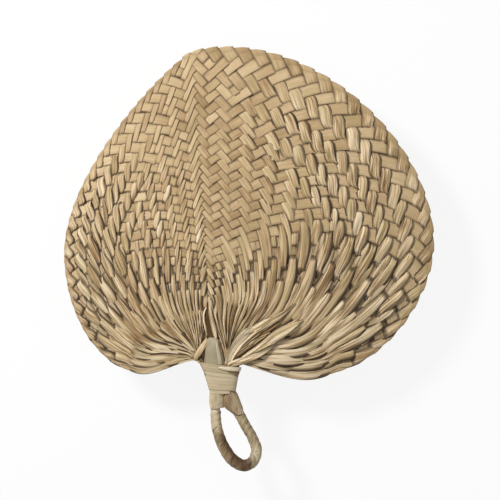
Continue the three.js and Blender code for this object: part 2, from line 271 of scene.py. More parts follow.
def leafSolid(name, middle, thickness, slot, upperPaint, lowerPaint=None, uvShift=0):
    rows, columns = middle.shape[:2]
    offset = normalsOf(middle) * thickness / 2
    points = np.concatenate([(middle + offset).reshape(-1, 3), (middle - offset).reshape(-1, 3)]) * mm
    index = np.arange(rows * columns).reshape(rows, columns)
    upper = np.stack([index[:-1, :-1], index[:-1, 1:], index[1:, 1:], index[1:, :-1]], -1).reshape(-1, 4)
    lower = upper[:, ::-1] + rows * columns
    rim = np.concatenate([index[0, :-1], index[:-1, -1], index[-1, :0:-1], index[:0:-1, 0]])
    after = np.roll(rim, -1)
    wall = np.stack([after, rim, rim + rows * columns, after + rows * columns], -1)
    mesh = bpy.data.meshes.new(name)
    mesh.from_pydata(points.tolist(), [], np.concatenate([upper, lower, wall]).tolist())
    mesh.polygons.foreach_set("use_smooth", [True] * len(mesh.polygons))
    # paint holds tone, painted shade, stain and crinkle
    lowerPaint = upperPaint if lowerPaint is None else lowerPaint
    paint = np.concatenate([upperPaint.reshape(-1, 4), lowerPaint.reshape(-1, 4)]).astype(np.float32)
    mesh.color_attributes.new("leaf", "FLOAT_COLOR", "POINT").data.foreach_set("color", paint.ravel())
    across = np.linalg.norm(np.diff(middle, axis=1), axis=-1).cumsum(1)
    across = np.concatenate([np.zeros((rows, 1)), across], 1)
    across = across - across[:, columns // 2:columns // 2 + 1]
    along = np.linalg.norm(np.diff(middle[:, columns // 2], axis=0), axis=-1).cumsum()
    along = np.concatenate([[0], along])[:, None] + uvShift
    uv = np.stack([across + uvShift, np.broadcast_to(along, across.shape)], -1).reshape(-1, 2)
    corner = np.empty(len(mesh.loops), np.int32)
    mesh.loops.foreach_get("vertex_index", corner)
    layer = mesh.uv_layers.new(name="leafUv")
    backShift = 31  # so the back has other fibres than the front
    layer.data.foreach_set("uv", np.concatenate([uv, uv + backShift])[corner].astype(np.float32).ravel())
    mesh.update()
    leaf = bpy.data.objects.new(name, mesh)
    leaf.data.materials.append(finishes[slot])
    bpy.context.collection.objects.link(leaf)
    return leaf


def evenPaint(rows, columns, tone, edgeShade=0.25, stain=0, crinkle=0.3):
    side = np.abs(np.linspace(-1, 1, columns))[None, :]
    paint = np.zeros((rows, columns, 4))
    paint[...] = tone, 0, stain, crinkle
    # painted shade along both edges
    paint[..., 1] = ease((side - 0.7) / 0.3) * edgeShade
    return paint


# the plan of the weave: rows leave the spine and end at the rim, tails run down to the neck
blade = {
    "stripsPerSide": 28, "solidStrips": 24, "twillFloat": 2,
    "footSpread": 0.7, "tipSpread": {1: 0.54, -1: 0.88},  # 1 is the right half, -1 the left one
    "tip": (-25, 266), "spineFoot": (-12, 61), "spineEase": 0.72, "rimPoints": 240,
    "crownHeight": 11, "crownCentre": (19, 133), "crownReach": (155, 143), "rimLift": 1.125,
    "neckBlend": 34, "neckHeight": 7, "mouthY": 12, "mouthDeep": 7, "mouthWay": 0.3, "bendEnd": 45,
    "pinchRadius": 5, "tailPull": 0.36}
rightHalf = {
    "side": 1, "widest": (172, 110), "lobe": (92, 5),
    "tipHandle": (93, 22), "upperHandle": (0, 84), "lowerHandle": (0, -44), "lobeHandle": (42, 9),
    "rimEase": 1.12, "rise": 43, "riseDrop": 30, "rimTurn": 40, "rimTurnGain": 18, "footPull": 0.41,
    "tipPull": 0.33, "gather": (5, 15), "gatherFrom": 108, "gatherTo": -14, "lobeSag": 18,
    "mouth": (1, 13)}
leftHalf = {
    "side": -1, "widest": (-128, 101), "lobe": (-77, 7),
    "tipHandle": (37, -28), "upperHandle": (0, 59), "lowerHandle": (0, -41), "lobeHandle": (31, 11),
    "rimEase": 1.06, "rise": 29, "riseDrop": 27, "rimTurn": 40, "rimTurnGain": 15, "footPull": 0.36,
    "tipPull": 0.33, "gather": (-18, 16), "gatherFrom": 84, "gatherTo": 190, "lobeSag": 12,
    "mouth": (-6, -13)}


def bladeHeight(plan):
    across = (plan[..., 0] - blade["crownCentre"][0]) / blade["crownReach"][0]
    along = (plan[..., 1] - blade["crownCentre"][1]) / blade["crownReach"][1]
    dome = blade["rimLift"] + blade["crownHeight"] * np.maximum(0, 1 - across ** 2 - along ** 2)
    fromNeck = plan[..., 0] ** 2 + (plan[..., 1] - blade["mouthY"]) ** 2
    return mix(dome, blade["neckHeight"], np.exp(-fromNeck / blade["neckBlend"] ** 2))


class Half:
    def __init__(self, shape):
        self.shape = shape
        self.side = shape["side"]
        tip, widest, lobe = (np.array(p, float) for p in (blade["tip"], shape["widest"], shape["lobe"]))
        out = np.array([self.side, 1])
        way = np.linspace(0, 1, blade["rimPoints"])
        leave, arrive = tip + out * shape["tipHandle"], widest + out * shape["upperHandle"]
        upper = cubic((tip, leave, arrive, widest), way)
        leave, arrive = widest + out * shape["lowerHandle"], lobe + out * shape["lobeHandle"]
        lower = cubic((widest, leave, arrive, lobe), way)
        self.path = np.concatenate([upper, lower[1:]])
        length = np.concatenate([[0], np.linalg.norm(np.diff(self.path, axis=0), axis=1).cumsum()])
        self.share = length / length[-1]
        self.heading = unit(np.gradient(self.path, axis=0))

    def rim(self, way, table):
        return np.stack([np.interp(way, self.share, table[:, axis]) for axis in (0, 1)], -1)

    def row(self, height, along):
        s = self.shape
        way = (1 - height) ** s["rimEase"]
        climb = height * (blade["spineEase"] + (1 - blade["spineEase"]) * height)
        start = mix(np.array(blade["spineFoot"], float), np.array(blade["tip"], float), climb[..., None])
        end = self.rim(way, self.path)
        low = (1 - height) ** 2
        rise = np.radians(s["rise"] - s["riseDrop"] * low * (1 - height))
        turn = np.radians(s["rimTurn"] + s["rimTurnGain"] * low)
        outward = np.stack([self.side * np.cos(rise), np.sin(rise)], -1)
        arrive = turned(unit(self.rim(way, self.heading)), self.side * turn)
        reach = np.linalg.norm(end - start, axis=-1) * mix(s["footPull"], s["tipPull"], height)
        reach = reach[..., None]
        return cubic((start, start + outward * reach, end - arrive * reach, end), along)

    def tail(self, along, way):
        s = self.shape
        along = np.clip(along, 0, 1)
        start = self.row(np.zeros_like(along), along)
        heading = unit(start - self.row(np.full_like(along, 0.01), along))
        heading = turned(heading, self.side * np.radians(s["lobeSag"]) * along ** 2)
        angle = np.radians(mix(s["gatherFrom"], s["gatherTo"], along))
        spoke = np.stack([np.cos(angle), np.sin(angle)], -1)
        gather = np.array(s["gather"], float)
        pinch = gather + spoke * blade["pinchRadius"]
        reach = np.linalg.norm(start - pinch, axis=-1, keepdims=True) * blade["tailPull"]
        outside = cubic((start, start + heading * reach, pinch + spoke * reach, pinch), np.clip(way, 0, 1))
        mouthX = mix(s["mouth"][0], s["mouth"][1], along)
        mouth = np.stack([mouthX, np.full_like(mouthX, blade["mouthY"] - blade["mouthDeep"])], -1)
        t = np.clip((way - 1) / blade["mouthWay"], 0, 1)[..., None]
        inside = pinch * (1 - t) ** 2 + gather * 2 * t * (1 - t) + mouth * t * t
        return np.where((way > 1)[..., None], inside, outside)


halves = {1: Half(rightHalf), -1: Half(leftHalf)}
perSide = blade["stripsPerSide"]


def spaced(share, height, side):  # strips lie closer together by the spine
    near = mix(blade["footSpread"], blade["tipSpread"][side], height)
    return share * (near + (1 - near) * share)


def weavePlace(u, v):
    row, cross = np.minimum(u, v), np.maximum(u, v)
    height = np.clip(row, 0, perSide - 0.02) / perSide
    share = (cross - row) / np.maximum(2 * (perSide - row), 0.04)
    right, left = (halves[side].row(height, spaced(share, height, side)) for side in (1, -1))
    return np.where((v >= u)[..., None], right, left)


def planOf(own, c, side):  # side -1 keeps u and side 1 keeps v
    own, c = np.broadcast_arrays(own, c)
    u, v = (own, c) if side < 0 else (c, own)
    woven = weavePlace(np.maximum(u, 0), np.maximum(v, 0))
    tail = halves[side].tail(spaced(own / (2 * perSide), 0, side), np.maximum(-c, 0))
    return np.where((c < 0)[..., None], tail, woven)


def uIsOver(u, v):
    if u == v:
        return True
    inner = max(u, v) < perSide
    count = abs(v - u) if inner else 2 * perSide - u - v
    shift = 1 if inner else 2  # the folded strip lies on top at the rim
    beat = (count - shift) % (2 * blade["twillFloat"])
    # low rows and rows by the left rim come up over one strip only, the lowest over none
    byLeftRim = u > strip["outerFrom"][-1] * perSide + 2 and v < strip["longFloats"] * perSide
    if (min(u, v) < strip["lowRows"] or byLeftRim) and count > 3:
        return u > v if min(u, v) < 1 or beat != 0 else v > u
    early = beat < blade["twillFloat"]
    return early != (v > u) if inner else early == (v > u)


# each strip rises through the left half, folds at the rim and comes back through the right half
strip = {
    "perCrossing": 8, "tailSteps": 64, "mouthSteps": 6, "columns": 11, "thickness": 0.36,
    "tone": 0.47, "toneSpread": 0.07, "floatSpread": 0.05, "widthSpread": (0.95, 1.06),
    # zones of a strip, in crossings or in shares of a half: 1 is the right half, -1 the left one
    "turnOver": 3, "tailOver": 0.3, "foldOver": 1.3, "lowRows": 6.5, "lowRowsOver": 4, "longFloats": 0.55,
    "calmFrom": {1: 0.5, -1: 0.4}, "calmOver": 0.3, "calmShare": 0.8,
    "crumpleFrom": {1: 0.85, -1: 1}, "crumpleOver": 0.3,
    "outerFrom": {1: 1, -1: 1.1}, "outerOver": 0.3, "lobeFrom": 0.7, "lobeOver": 0.6,
    "lensRows": {1: 12, -1: 18}, "lensRowsOver": 6, "darkRow": (0.3, 0.25), "farRow": (0.35, 0.4),
    "tailLevel": 0.22, "looseFrom": -1.05, "looseOver": 0.3, "pinchOver": 0.5, "tailWidthOver": 0.4,
    "footFrom": 0.35, "footOver": 0.6, "tailOverlapOver": 0.45, "pleatOver": 0.3,
    # widths in millimetres, overlaps in strips
    "innerWidth": 4.8, "outerWidth": {1: 11, -1: 8.6}, "widerFrom": 0.55, "widerOver": 0.5,
    "pinchWidth": 2.6, "ribWidth": 4.6, "tailWidth": {1: 9.5, -1: 6.6}, "tailSwell": (0.35, 1.25),
    "fill": 1.07, "mostOverlap": {1: 1.9, -1: 2.3}, "calmOverlap": 1.15, "footOverlap": 3.5,
    "anyOverlap": 30,
    "lensWaist": (0.65, 0.16), "lensTop": (0.95, 0.42), "lowRowWidth": 0.6, "foldWidth": 0.97,
    "drift": 0.14, "slant": {1: 0.6, -1: 1.6}, "widthDrift": 0.06,
    # where strips crowd together, 1 is a strip that leads and -1 one that lies between
    "crowdFrom": 1.7, "crowdOver": 1.2, "leadWidth": {1: 1.1, -1: 0.95}, "leadOverlap": {1: 2, -1: 0.9},
    "leadLift": 0.35, "ribOverlap": {1: 2.1, -1: 1}, "leadTail": {1: 1.08, -1: 0.92},
    # relief
    "wave": 0.074, "leastWave": 0.42, "mostWave": 0.95, "softness": 0.3, "lowRowDrop": 0.3,
    "crown": 0.2, "twist": 1.3, "ridge": 0.22, "leastRidge": 0.3, "mostRidge": 1.6, "ridgeRoam": 0.55,
    "crumpleCalm": 0.6, "buriedRidge": 0.35, "ribWaist": 0.7, "ribSqueeze": 0.85, "overlapSqueeze": 0.7,
    "layer": (0.45, 0.3), "sunkLayer": 0.6, "lowest": 0.216,
    "tilt": 0.6, "shingle": 0.5, "rowTilt": 0.28, "groove": 0.5, "grooveWidth": 0.42, "grooveRoam": 0.75,
    "flatPleat": 0.05, "pleat": 0.07, "tailPleat": 0.13, "ribPleat": 0.7, "pleatWaves": 7.5, "pleatRoam": 5,
    # loose tails that rise and dip along their way
    "tailBeat": {1: 150, -1: 120}, "tailStep": 0.27, "tailUp": 0.42, "tailRoam": 1.4, "tailShingle": 0.4,
    "tailChance": 0.12, "tailRound": 0.7, "tailFlat": 0.55, "tailCalm": 1.4, "tailSway": 0.3,
    # the fold at the rim
    "foldShear": 0.9, "scallop": 1.5, "lobeScallop": 4, "scallopRows": 9, "scallopOut": 0.5}
# how dark or bright the parts of a strip are, mostly painted shade where a strip lies under, between or at
# the ends of others, and a painted highlight on raised tails: pairs go from plain to deep, or from low to
# high
stripTint = {
    "woven": (0.05, 0.4), "shown": (-0.6, 1.3),  # where it begins, over how far
    "buried": 0.88, "most": 0.94,
    "endFrom": (0.44, 0.42), "endOver": 0.06, "endDark": (0.65, 0.85), "lowRow": 0.3, "darkRow": 0.5,
    "raisedBack": 0.5, "sunk": 0.75,
    "edgeFrom": (0.47, 0.7), "raisedEdge": 0.5, "edgeOver": 0.2, "edge": 0.64, "squeezedEdge": 0.24,
    "tailEdge": 0.12, "edgeDrift": 0.2, "under": 0.5, "underFrom": 0.45, "underFar": 0.5,
    "tone": -0.03, "squeezed": 0.18, "tail": (-0.12, -0.05), "farRow": 0.12, "drift": (0.04, 0.1),
    "middle": 0.34, "middleReach": 0.7, "pleat": 0.13, "squeezedPleat": 0.25,
    "stainFrom": 0.75, "stain": 0.35, "nose": 0.5}
columns = np.linspace(-1, 1, strip["columns"])
columns = columns * (1.45 - 0.45 * columns ** 2)  # closer together at the edges


def floatEnds(levels):  # first and last crossing of the float that each crossing lies in
    starts, ends = np.zeros(len(levels)), np.zeros(len(levels))
    for i in range(len(levels)):
        same = i > 0 and levels[i] == levels[i - 1]
        starts[i] = starts[i - 1] if same else i
    for i in range(len(levels) - 1, -1, -1):
        same = i < len(levels) - 1 and levels[i] == levels[i + 1]
        ends[i] = ends[i + 1] if same else i + 1
    return starts, ends


class Strand:  # one half of a strip, from the mouth of the neck to the rim
    def __init__(self, own, limit, levels, side, wide, layer):
        self.own, self.side, self.layer = own, side, layer
        self.leads = 1 if layer > 0 else -1
        self.findZones(limit, levels)
        self.findWidth(wide)
        self.shapePlan()
        self.shapeRelief()

    def findZones(self, limit, levels):  # c counts the crossings, below 0 it is the tail
        mouth = np.linspace(-1 - blade["mouthWay"], -1, strip["mouthSteps"], endpoint=False)
        tail = np.linspace(-1, 0, strip["tailSteps"], endpoint=False)
        woven = np.linspace(0, limit, int(limit * strip["perCrossing"]) + 2)
        c = np.concatenate([mouth, tail, woven])
        own, share = self.own, self.own / perSide
        last = len(levels) - 1
        starts, ends = floatEnds(levels)
        cell = np.clip(np.floor(c), 0, last).astype(int)
        within = np.clip((c - starts[cell]) / (ends[cell] - starts[cell]), 0, 1)
        within = np.where(starts[cell] == 0, np.maximum(within, 0.5), within)  # the lowest runs on as a tail
        low = np.clip(np.floor(c - 0.5), 0, last).astype(int)
        high = np.minimum(low + 1, last)
        level = mix(levels[low], levels[high], ease((c - 1 - low) / (2 * strip["softness"]) + 0.5))
        self.c, self.within = c, within
        self.level = level * ease((c + strip["tailLevel"]) / strip["tailLevel"])
        self.over = (self.level + 1) / 2
        self.float = starts[cell].astype(int)
        self.single = (ends - starts == 1)[cell]
        # strips that run with the rim are squeezed and crumpled, rows stay flat, and so does the upper weave
        crosses = ease((own - c) / strip["turnOver"] + 0.5)
        self.calm = ease((c / perSide - strip["calmFrom"][self.side]) / strip["calmOver"])
        crumple = ease((share - strip["crumpleFrom"][self.side]) / strip["crumpleOver"])
        self.crosses = crosses
        self.crumple = crumple * crosses * (1 - strip["calmShare"] * self.calm)
        self.inTail = ease(-c / strip["tailOver"])
        self.nearFold = ease((c - limit + strip["foldOver"]) / strip["foldOver"])
        self.woven = (1 - self.nearFold) * (1 - self.inTail)
        self.lobe = ease((share - strip["lobeFrom"]) / strip["lobeOver"])
        lowRib = ease((strip["lowRows"] - c) / strip["lowRowsOver"])
        self.rib = crosses * lowRib * (1 - self.nearFold) * (1 - self.lobe)
        self.lowness = ease((strip["lensRows"][self.side] - c) / strip["lensRowsOver"])
        self.lowRow = (1 - crosses) * ease((strip["lowRows"] - own) / strip["lowRowsOver"])
        rowWay = (c - own) / (2 * max(perSide - own, 0.5))
        begin, over = strip["darkRow"]
        self.darkRow = self.lowRow * (1 - ease((rowWay - begin) / over))
        begin, over = strip["farRow"]
        self.farRow = (1 - crosses) * ease((rowWay - begin) / over)

    def findWidth(self, wide):
        own, c, side, lobe, crosses = self.own, self.c, self.side, self.lobe, self.crosses
        lens = mix(np.sin(np.pi * self.within), 1, np.maximum(self.inTail, self.nearFold))
        slant = strip["slant"][side] * self.crumple * np.maximum(self.level, 0) * (self.within - 0.5)
        drift = strip["drift"] * wander(len(c), 26) + slant
        self.shift = drift * self.woven
        # a strip keeps its own width where the pitch gets less, so it overlaps its neighbours
        step = np.full(len(c), 0.5)
        self.pitch = np.linalg.norm(planOf(own + step, c, side) - planOf(own - step, c, side), axis=-1)
        pitch = np.maximum(self.pitch, 0.05)
        wider = ease((own / perSide - strip["widerFrom"]) / strip["widerOver"])
        leaf = mix(strip["innerWidth"], strip["outerWidth"][side], wider) * wide
        # tails rise and dip among each other like loose leaves
        walked = np.linalg.norm(np.gradient(planOf(own, c, side), axis=0), axis=1).cumsum()
        start = own * strip["tailStep"] + chance.uniform(0, strip["tailChance"])
        beat = walked / strip["tailBeat"][side] + start
        self.loose = self.inTail * lobe * ease((c - strip["looseFrom"]) / strip["looseOver"])
        self.up = np.sin(np.pi * np.clip(beat % 1 / strip["tailUp"], 0, 1)) ** strip["tailRound"]
        self.raised = self.loose * self.up
        tailWidth = mix(strip["ribWidth"], strip["tailWidth"][side] * strip["leadTail"][self.leads], lobe)
        tailWidth = tailWidth * wide * mix(1, mix(*strip["tailSwell"], self.up), self.loose)
        tailWidth = mix(strip["pinchWidth"], tailWidth, ease((c + 1) / strip["pinchOver"]))
        leaf = mix(leaf, tailWidth, ease(-c / strip["tailWidthOver"]))
        # where strips crowd together every second one leads, and the others lie lower between them
        crowd = ease((leaf / pitch - strip["crowdFrom"]) / strip["crowdOver"])
        outer = ease((own / perSide - strip["outerFrom"][side]) / strip["outerOver"])
        outer = np.maximum(outer, ease((strip["lowRows"] + 3 - c) / strip["lowRowsOver"]))
        self.crowd = crowd * crosses * (1 - self.nearFold) * (1 - self.calm) * outer
        leaf = leaf * mix(1, strip["leadWidth"][self.leads], self.crowd)
        overlap = np.clip(leaf / pitch, strip["fill"], strip["anyOverlap"])
        most = mix(strip["mostOverlap"][side], strip["calmOverlap"], self.calm)
        most = most * mix(1, strip["leadOverlap"][self.leads], self.crowd)
        byFoot = ease((-c - strip["footFrom"]) / strip["footOver"])
        ribMost = mix(strip["ribOverlap"][self.leads], strip["footOverlap"], byFoot)
        tailMost = mix(ribMost, strip["anyOverlap"], lobe)
        overlap = np.minimum(overlap, mix(most, tailMost, ease(-c / strip["tailOverlapOver"])))
        self.squeezed = np.clip(overlap - 1, 0, 1) * crosses
        width = mix(strip["fill"], overlap, crosses) * (1 + strip["widthDrift"] * wander(len(c), 18))
        # floats are narrow at their ends
        foot, top = (mix(*strip[part], self.lowness) for part in ("lensWaist", "lensTop"))
        waist = mix(mix(foot, top, self.within), 1, np.where(self.single, 1, lens))
        waisted = np.maximum(self.crumple, self.squeezed) * (1 - self.rib * strip["ribWaist"])
        waisted = waisted * np.minimum(self.over * 2, 1)
        width = width * mix(1, waist, waisted)
        width = width * mix(1, strip["lowRowWidth"], self.lowRow * (1 - self.nearFold) * self.over)
        self.width = mix(width, strip["foldWidth"], self.nearFold)
        # neighbours cover the sides of a wide strip
        least, most = stripTint["edgeFrom"]
        edgeFrom = mix(most, np.clip(1 / self.width, least, most), crosses)
        self.edgeFrom = mix(edgeFrom, stripTint["raisedEdge"], self.raised)

    def shapePlan(self):
        self.k = columns[None, :] * self.side
        reach = self.k * self.width[:, None] / 2
        shear = strip["foldShear"] * self.nearFold
        ownGrid = self.own + self.shift[:, None] + reach
        cGrid = self.c[:, None] - shear[:, None] * reach
        self.plan = smoothed(planOf(ownGrid, cGrid, self.side), 4)

    def shapeRelief(self):
        c, over, steps = self.c, self.over, len(self.c)
        stepLength = np.linalg.norm(np.gradient(self.plan[:, len(columns) // 2], axis=0), axis=-1)
        alongPitch = np.where(c < 0, self.pitch, stepLength / np.maximum(np.gradient(c), 1e-3))
        rise = strip["wave"] * np.sqrt(self.pitch * np.clip(alongPitch, 2, 30))
        rise = np.clip(rise, strip["leastWave"], strip["mostWave"])
        # folded and twisted cross-section
        squeeze = np.maximum(self.crumple, self.squeezed * strip["overlapSqueeze"]) * (1 - self.nearFold)
        squeeze = np.maximum(squeeze, np.maximum(self.inTail, self.rib * strip["ribSqueeze"]))
        twist = strip["twist"] * self.side * (self.within - 0.5) * self.crumple * (1 - self.inTail)
        roam = strip["ridgeRoam"] * (1 - strip["crumpleCalm"] * self.crumple) * wander(steps, 24)
        ridgeSpot = (twist + roam)[:, None]
        tent = 1 - np.abs(columns[None, :] - ridgeSpot) / (1 + np.abs(ridgeSpot))
        ridge = np.clip(strip["ridge"] * self.width * self.pitch, strip["leastRidge"], strip["mostRidge"])
        ridge = ridge * squeeze * mix(strip["buriedRidge"], 1, over) * (1 - strip["tailFlat"] * self.loose)
        tailTilt = 1 + self.inTail - strip["tailCalm"] * self.loose
        tilt = strip["tilt"] * squeeze * wander(steps, 18) * tailTilt
        tilt = tilt + strip["shingle"] * self.squeezed * self.woven + strip["tailShingle"] * self.loose
        flat = (1 - squeeze) * (1 - self.nearFold) * strip["rowTilt"]
        roam = strip["pleatRoam"] * wander(steps, 26)[:, None]
        pleat = np.sin(columns[None, :] * strip["pleatWaves"] + roam)
        pleated = np.maximum(self.inTail, strip["ribPleat"] * self.rib)
        pleated = pleated * ease((c + 1) / strip["pleatOver"])
        wrinkle = strip["flatPleat"] + strip["pleat"] * squeeze + strip["tailPleat"] * pleated
        lie = self.layer * mix(*strip["layer"], self.lobe)
        stack = strip["leadLift"] * self.leads * self.crowd * (1 - self.inTail) * over
        sway = self.inTail * (lie + strip["tailSway"] * wander(steps, 20))
        sway = sway + self.loose * strip["tailRoam"] * (2 * self.up - 1)
        grooveSpot = strip["grooveRoam"] * wander(steps, 30)[:, None]
        groove = np.maximum(1 - np.abs(columns[None, :] - grooveSpot) / strip["grooveWidth"], 0)
        lift = rise * self.level + sway + stack - strip["lowRowDrop"] * self.lowRow
        z = bladeHeight(self.plan) + lift[:, None] + (tent - strip["groove"] * groove) * ridge[:, None]
        z = z + columns[None, :] * tilt[:, None] - self.k * flat[:, None] + wrinkle[:, None] * pleat
        z = z - strip["crown"] * (columns ** 2)[None, :]
        self.grid = np.concatenate([self.plan, z[..., None]], -1)
        self.squeeze = squeeze
        self.pleat = (stripTint["squeezedPleat"] * squeeze + pleated)[:, None] * pleat
        self.sunk = self.loose * (1 - self.up) + self.inTail * np.clip(-lie / 2, 0, 1) * strip["sunkLayer"]
        self.sunk = self.sunk + np.maximum(-stack, 0)

    def paint(self, facing, tone):  # facing is 1 where the leaf's side looks to the front
        rows, squeeze, tint = len(self.c), self.squeeze, stripTint
        front = (facing + 1) / 2
        begin, over = tint["woven"]
        woven = ease((self.c - begin) / over)
        shown = mix(1, self.level * facing, woven)
        floatTone = smoothed(chance.normal(0, strip["floatSpread"], 120)[self.float], 2)
        # painted shade where the strip lies under others, at the ends of its floats, on low rows, on the
        # back of raised tails and on the front of sunk ones
        begin, over = tint["shown"]
        buried = tint["buried"] * (1 - ease((shown - begin) / over))
        deepEnds = squeeze * self.lowness
        ends = ease((np.abs(self.within - 0.5) - mix(*tint["endFrom"], deepEnds)) / tint["endOver"])
        ends = ends * mix(*tint["endDark"], deepEnds) * (1 - self.nearFold) * woven
        lowRowShade = (self.lowRow * tint["lowRow"] + self.darkRow * tint["darkRow"]) * front
        buried = np.maximum(buried, ends) + lowRowShade
        buried = buried + mix(self.raised * tint["raisedBack"], self.sunk * tint["sunk"], front)
        # painted shade: dark lines along both edges, and on the upper edge of a row, which lies under the
        # next row
        deep = tint["edge"] + tint["squeezedEdge"] * squeeze + tint["tailEdge"] * (self.inTail + self.rib)
        deep = deep + tint["edgeDrift"] * wander(rows, 20)
        edge = ease((np.abs(columns)[None, :] - self.edgeFrom[:, None]) / tint["edgeOver"]) * deep[:, None]
        under = tint["under"] * (1 - squeeze) * (1 - tint["underFar"] * self.farRow)
        under = ease((self.k * facing - tint["underFrom"]) / (1 - tint["underFrom"])) * under[:, None]
        lengthTone = tint["squeezed"] * squeeze + mix(*tint["tail"], self.lobe) * self.inTail + tint["tone"]
        plainDrift, squeezedDrift = tint["drift"]
        lengthTone = lengthTone + tint["farRow"] * self.farRow
        lengthTone = lengthTone + (plainDrift + squeezedDrift * squeeze) * wander(rows, 14)
        # a painted highlight along the middle of raised loose tails
        byMiddle = 1 - np.abs(columns)[None, :] / tint["middleReach"]
        raisedHighlight = (tint["middle"] * self.raised)[:, None] * byMiddle
        paint = np.zeros((rows, len(columns), 4))
        # painted shade in the hollows of the pleats, lighter on their ridges
        pleats = tint["pleat"] * facing * self.pleat
        paint[..., 0] = (tone + floatTone + lengthTone)[:, None] + raisedHighlight + pleats
        paint[..., 1] = np.clip(np.maximum(buried[:, None], np.maximum(edge, under)), 0, tint["most"])
        stained = ease((wander(rows, 34) - tint["stainFrom"]) / (1 - tint["stainFrom"]))
        paint[..., 2] = (stained * tint["stain"])[:, None]
        paint[..., 3] = squeeze[:, None]
        return paint


def bendWithNeck(piece):
    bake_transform(piece)


def tailLayer(own):  # every second tail lies on top of the others
    return (int(own) % 2 * 2 - 1) * chance.uniform(0.5, 1.7)


def foldNose(start, end, ahead):  # three rows in a half circle from one half's end to the other's
    middle = (start + end) / 2
    drop = (start[:, 2] - end[:, 2]) / 2
    nose = []
    for angle in np.radians((50, 0, -50)):
        spot = middle.copy()
        spot[:, :2] += ahead * (np.abs(drop) * math.cos(angle))[:, None]
        spot[:, 2] = middle[:, 2] + drop * math.sin(angle)
        nose.append(spot)
    return np.array(nose)


def makeStrip(number):
    u = number - 0.5
    v = 2 * perSide - u
    risen = np.array([1.0 if uIsOver(u, m + 0.5) else -1.0 for m in range(int(v))])
    back = np.array([-1.0 if uIsOver(m + 0.5, v) else 1.0 for m in range(int(u))])
    back = back if len(back) else -risen[-1:]
    risen = risen if len(risen) else -back[-1:]
    wide = chance.uniform(*strip["widthSpread"])
    first = Strand(u, v, risen, -1, wide, tailLayer(u))
    second = Strand(v, u, back, 1, wide, tailLayer(v))
    # both halves meet at the rim in a round fold, and its corners are drawn in
    near, far = (weavePlace(u + step, v + step) for step in (columns * 0 - 0.03, columns * 0 + 0.03))
    ahead = unit(far - near)
    lowSide = columns if u < v else -columns
    deep = mix(strip["scallop"], strip["lobeScallop"], ease(1 - min(u, v) / strip["scallopRows"]))
    outward = ahead * (strip["scallopOut"] - deep * ((1 - lowSide) / 2) ** 2)[:, None]
    for strand in (first, second):
        strand.grid[..., :2] += outward[None] * (strand.nearFold ** 2)[:, None, None]
    nose = foldNose(first.grid[-1], second.grid[-1], ahead)
    grid = np.concatenate([first.grid, nose, second.grid[::-1]])
    grid[..., 2] = np.maximum(grid[..., 2], strip["lowest"])
    tone = strip["tone"] + chance.normal(0, strip["toneSpread"])
    sides = ((first, 1), (first, -1), (second, -1), (second, 1))
    paints = [strand.paint(facing, tone) for strand, facing in sides]
    # painted shade along the edges of the fold
    nosePaint = evenPaint(len(nose), len(columns), tone, stripTint["nose"])
    upper = np.concatenate([paints[0], nosePaint, paints[2][::-1]])
    lower = np.concatenate([paints[1], nosePaint, paints[3][::-1]])
    name = f"weaveStrip{number:02d}"
    made = leafSolid(name, grid, strip["thickness"], "strip_leaf", upper, lower, number * 37.0)
    bendWithNeck(made)
    # each solid strip of the frame stands for two or three of these
    solid = int(u * blade["solidStrips"] / (2 * perSide)) + 1
    half = blade["solidStrips"] // 2
    right, left = f"right_strip_{solid:02d}", f"left_strip_{2 * half + 1 - solid:02d}"
    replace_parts(made, right if solid <= half else left)


for number in range(1, 2 * perSide + 1):
    makeStrip(number)
print("weave made:", 2 * perSide, "strips")


# a smooth way through given points
def routeThrough(points, count):
    points = np.array(points, float)
    before, after = 2 * points[0] - points[1], 2 * points[-1] - points[-2]
    p = np.concatenate([[before], points, [after]])
    gap = np.sqrt(np.linalg.norm(np.diff(p[:, :2], axis=0), axis=1))
    path = []
    for spot in np.linspace(0, len(points) - 1, count):
        i = min(int(spot), len(points) - 2)
        t = spot - i
        a, b, c = gap[i:i + 3]
        steps = p[i + 1:i + 4] - p[i:i + 3]
        leave = (steps[0] / a - (steps[0] + steps[1]) / (a + b) + steps[1] / b) * b
        arrive = (steps[1] / b - (steps[1] + steps[2]) / (b + c) + steps[2] / c) * b
        bend = leave + arrive - 2 * steps[1]
        sway = 3 * steps[1] - 2 * leave - arrive
        path.append(p[i + 1] + leave * t + sway * t * t + bend * t ** 3)
    return np.array(path)


# the pinched heart of each gather, under the tails
gather = {"from": 0.66, "to": 1.26, "rows": 26, "pleats": 22, "perPleat": 4, "deep": 0.8, "thickness": 1.2,
          "sink": 1, "outerSink": 3, "sinkOver": 0.25, "tone": (0.45, 0.25), "paintedShade": (0.3, -0.25),
          "backGain": (1, 0.4, 1, 1), "backAdd": (0.42, 0, 0, 0.5)}


def makeGather(name, side, node):
    way = np.linspace(gather["from"], gather["to"], gather["rows"])[:, None]
    along = np.linspace(0.02, 0.98, gather["pleats"] * gather["perPleat"] + 1)[None, :]
    way, along = np.broadcast_arrays(way, along)
    plan = halves[side].tail(along, way)
    fold = np.cos(along * gather["pleats"] * 2 * math.pi)
    shown = ease((way - gather["from"]) / gather["sinkOver"])
    z = bladeHeight(plan) - mix(gather["outerSink"], gather["sink"], shown) + gather["deep"] * fold * shown
    grid = np.concatenate([plan, z[..., None]], -1)
    paint = np.zeros(way.shape + (4,))
    # painted shade: darker in the hollows of the pleats and lighter on their ridges; the back gets less of
    # it and a lighter tone
    for channel, part in enumerate(("tone", "paintedShade")):
        paint[..., channel] = gather[part][0] + gather[part][1] * fold
    back = paint * gather["backGain"] + gather["backAdd"]
    piece = leafSolid(name, grid, gather["thickness"], "inner_leaf", paint, back)
    bendWithNeck(piece)
    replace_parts(piece, node)


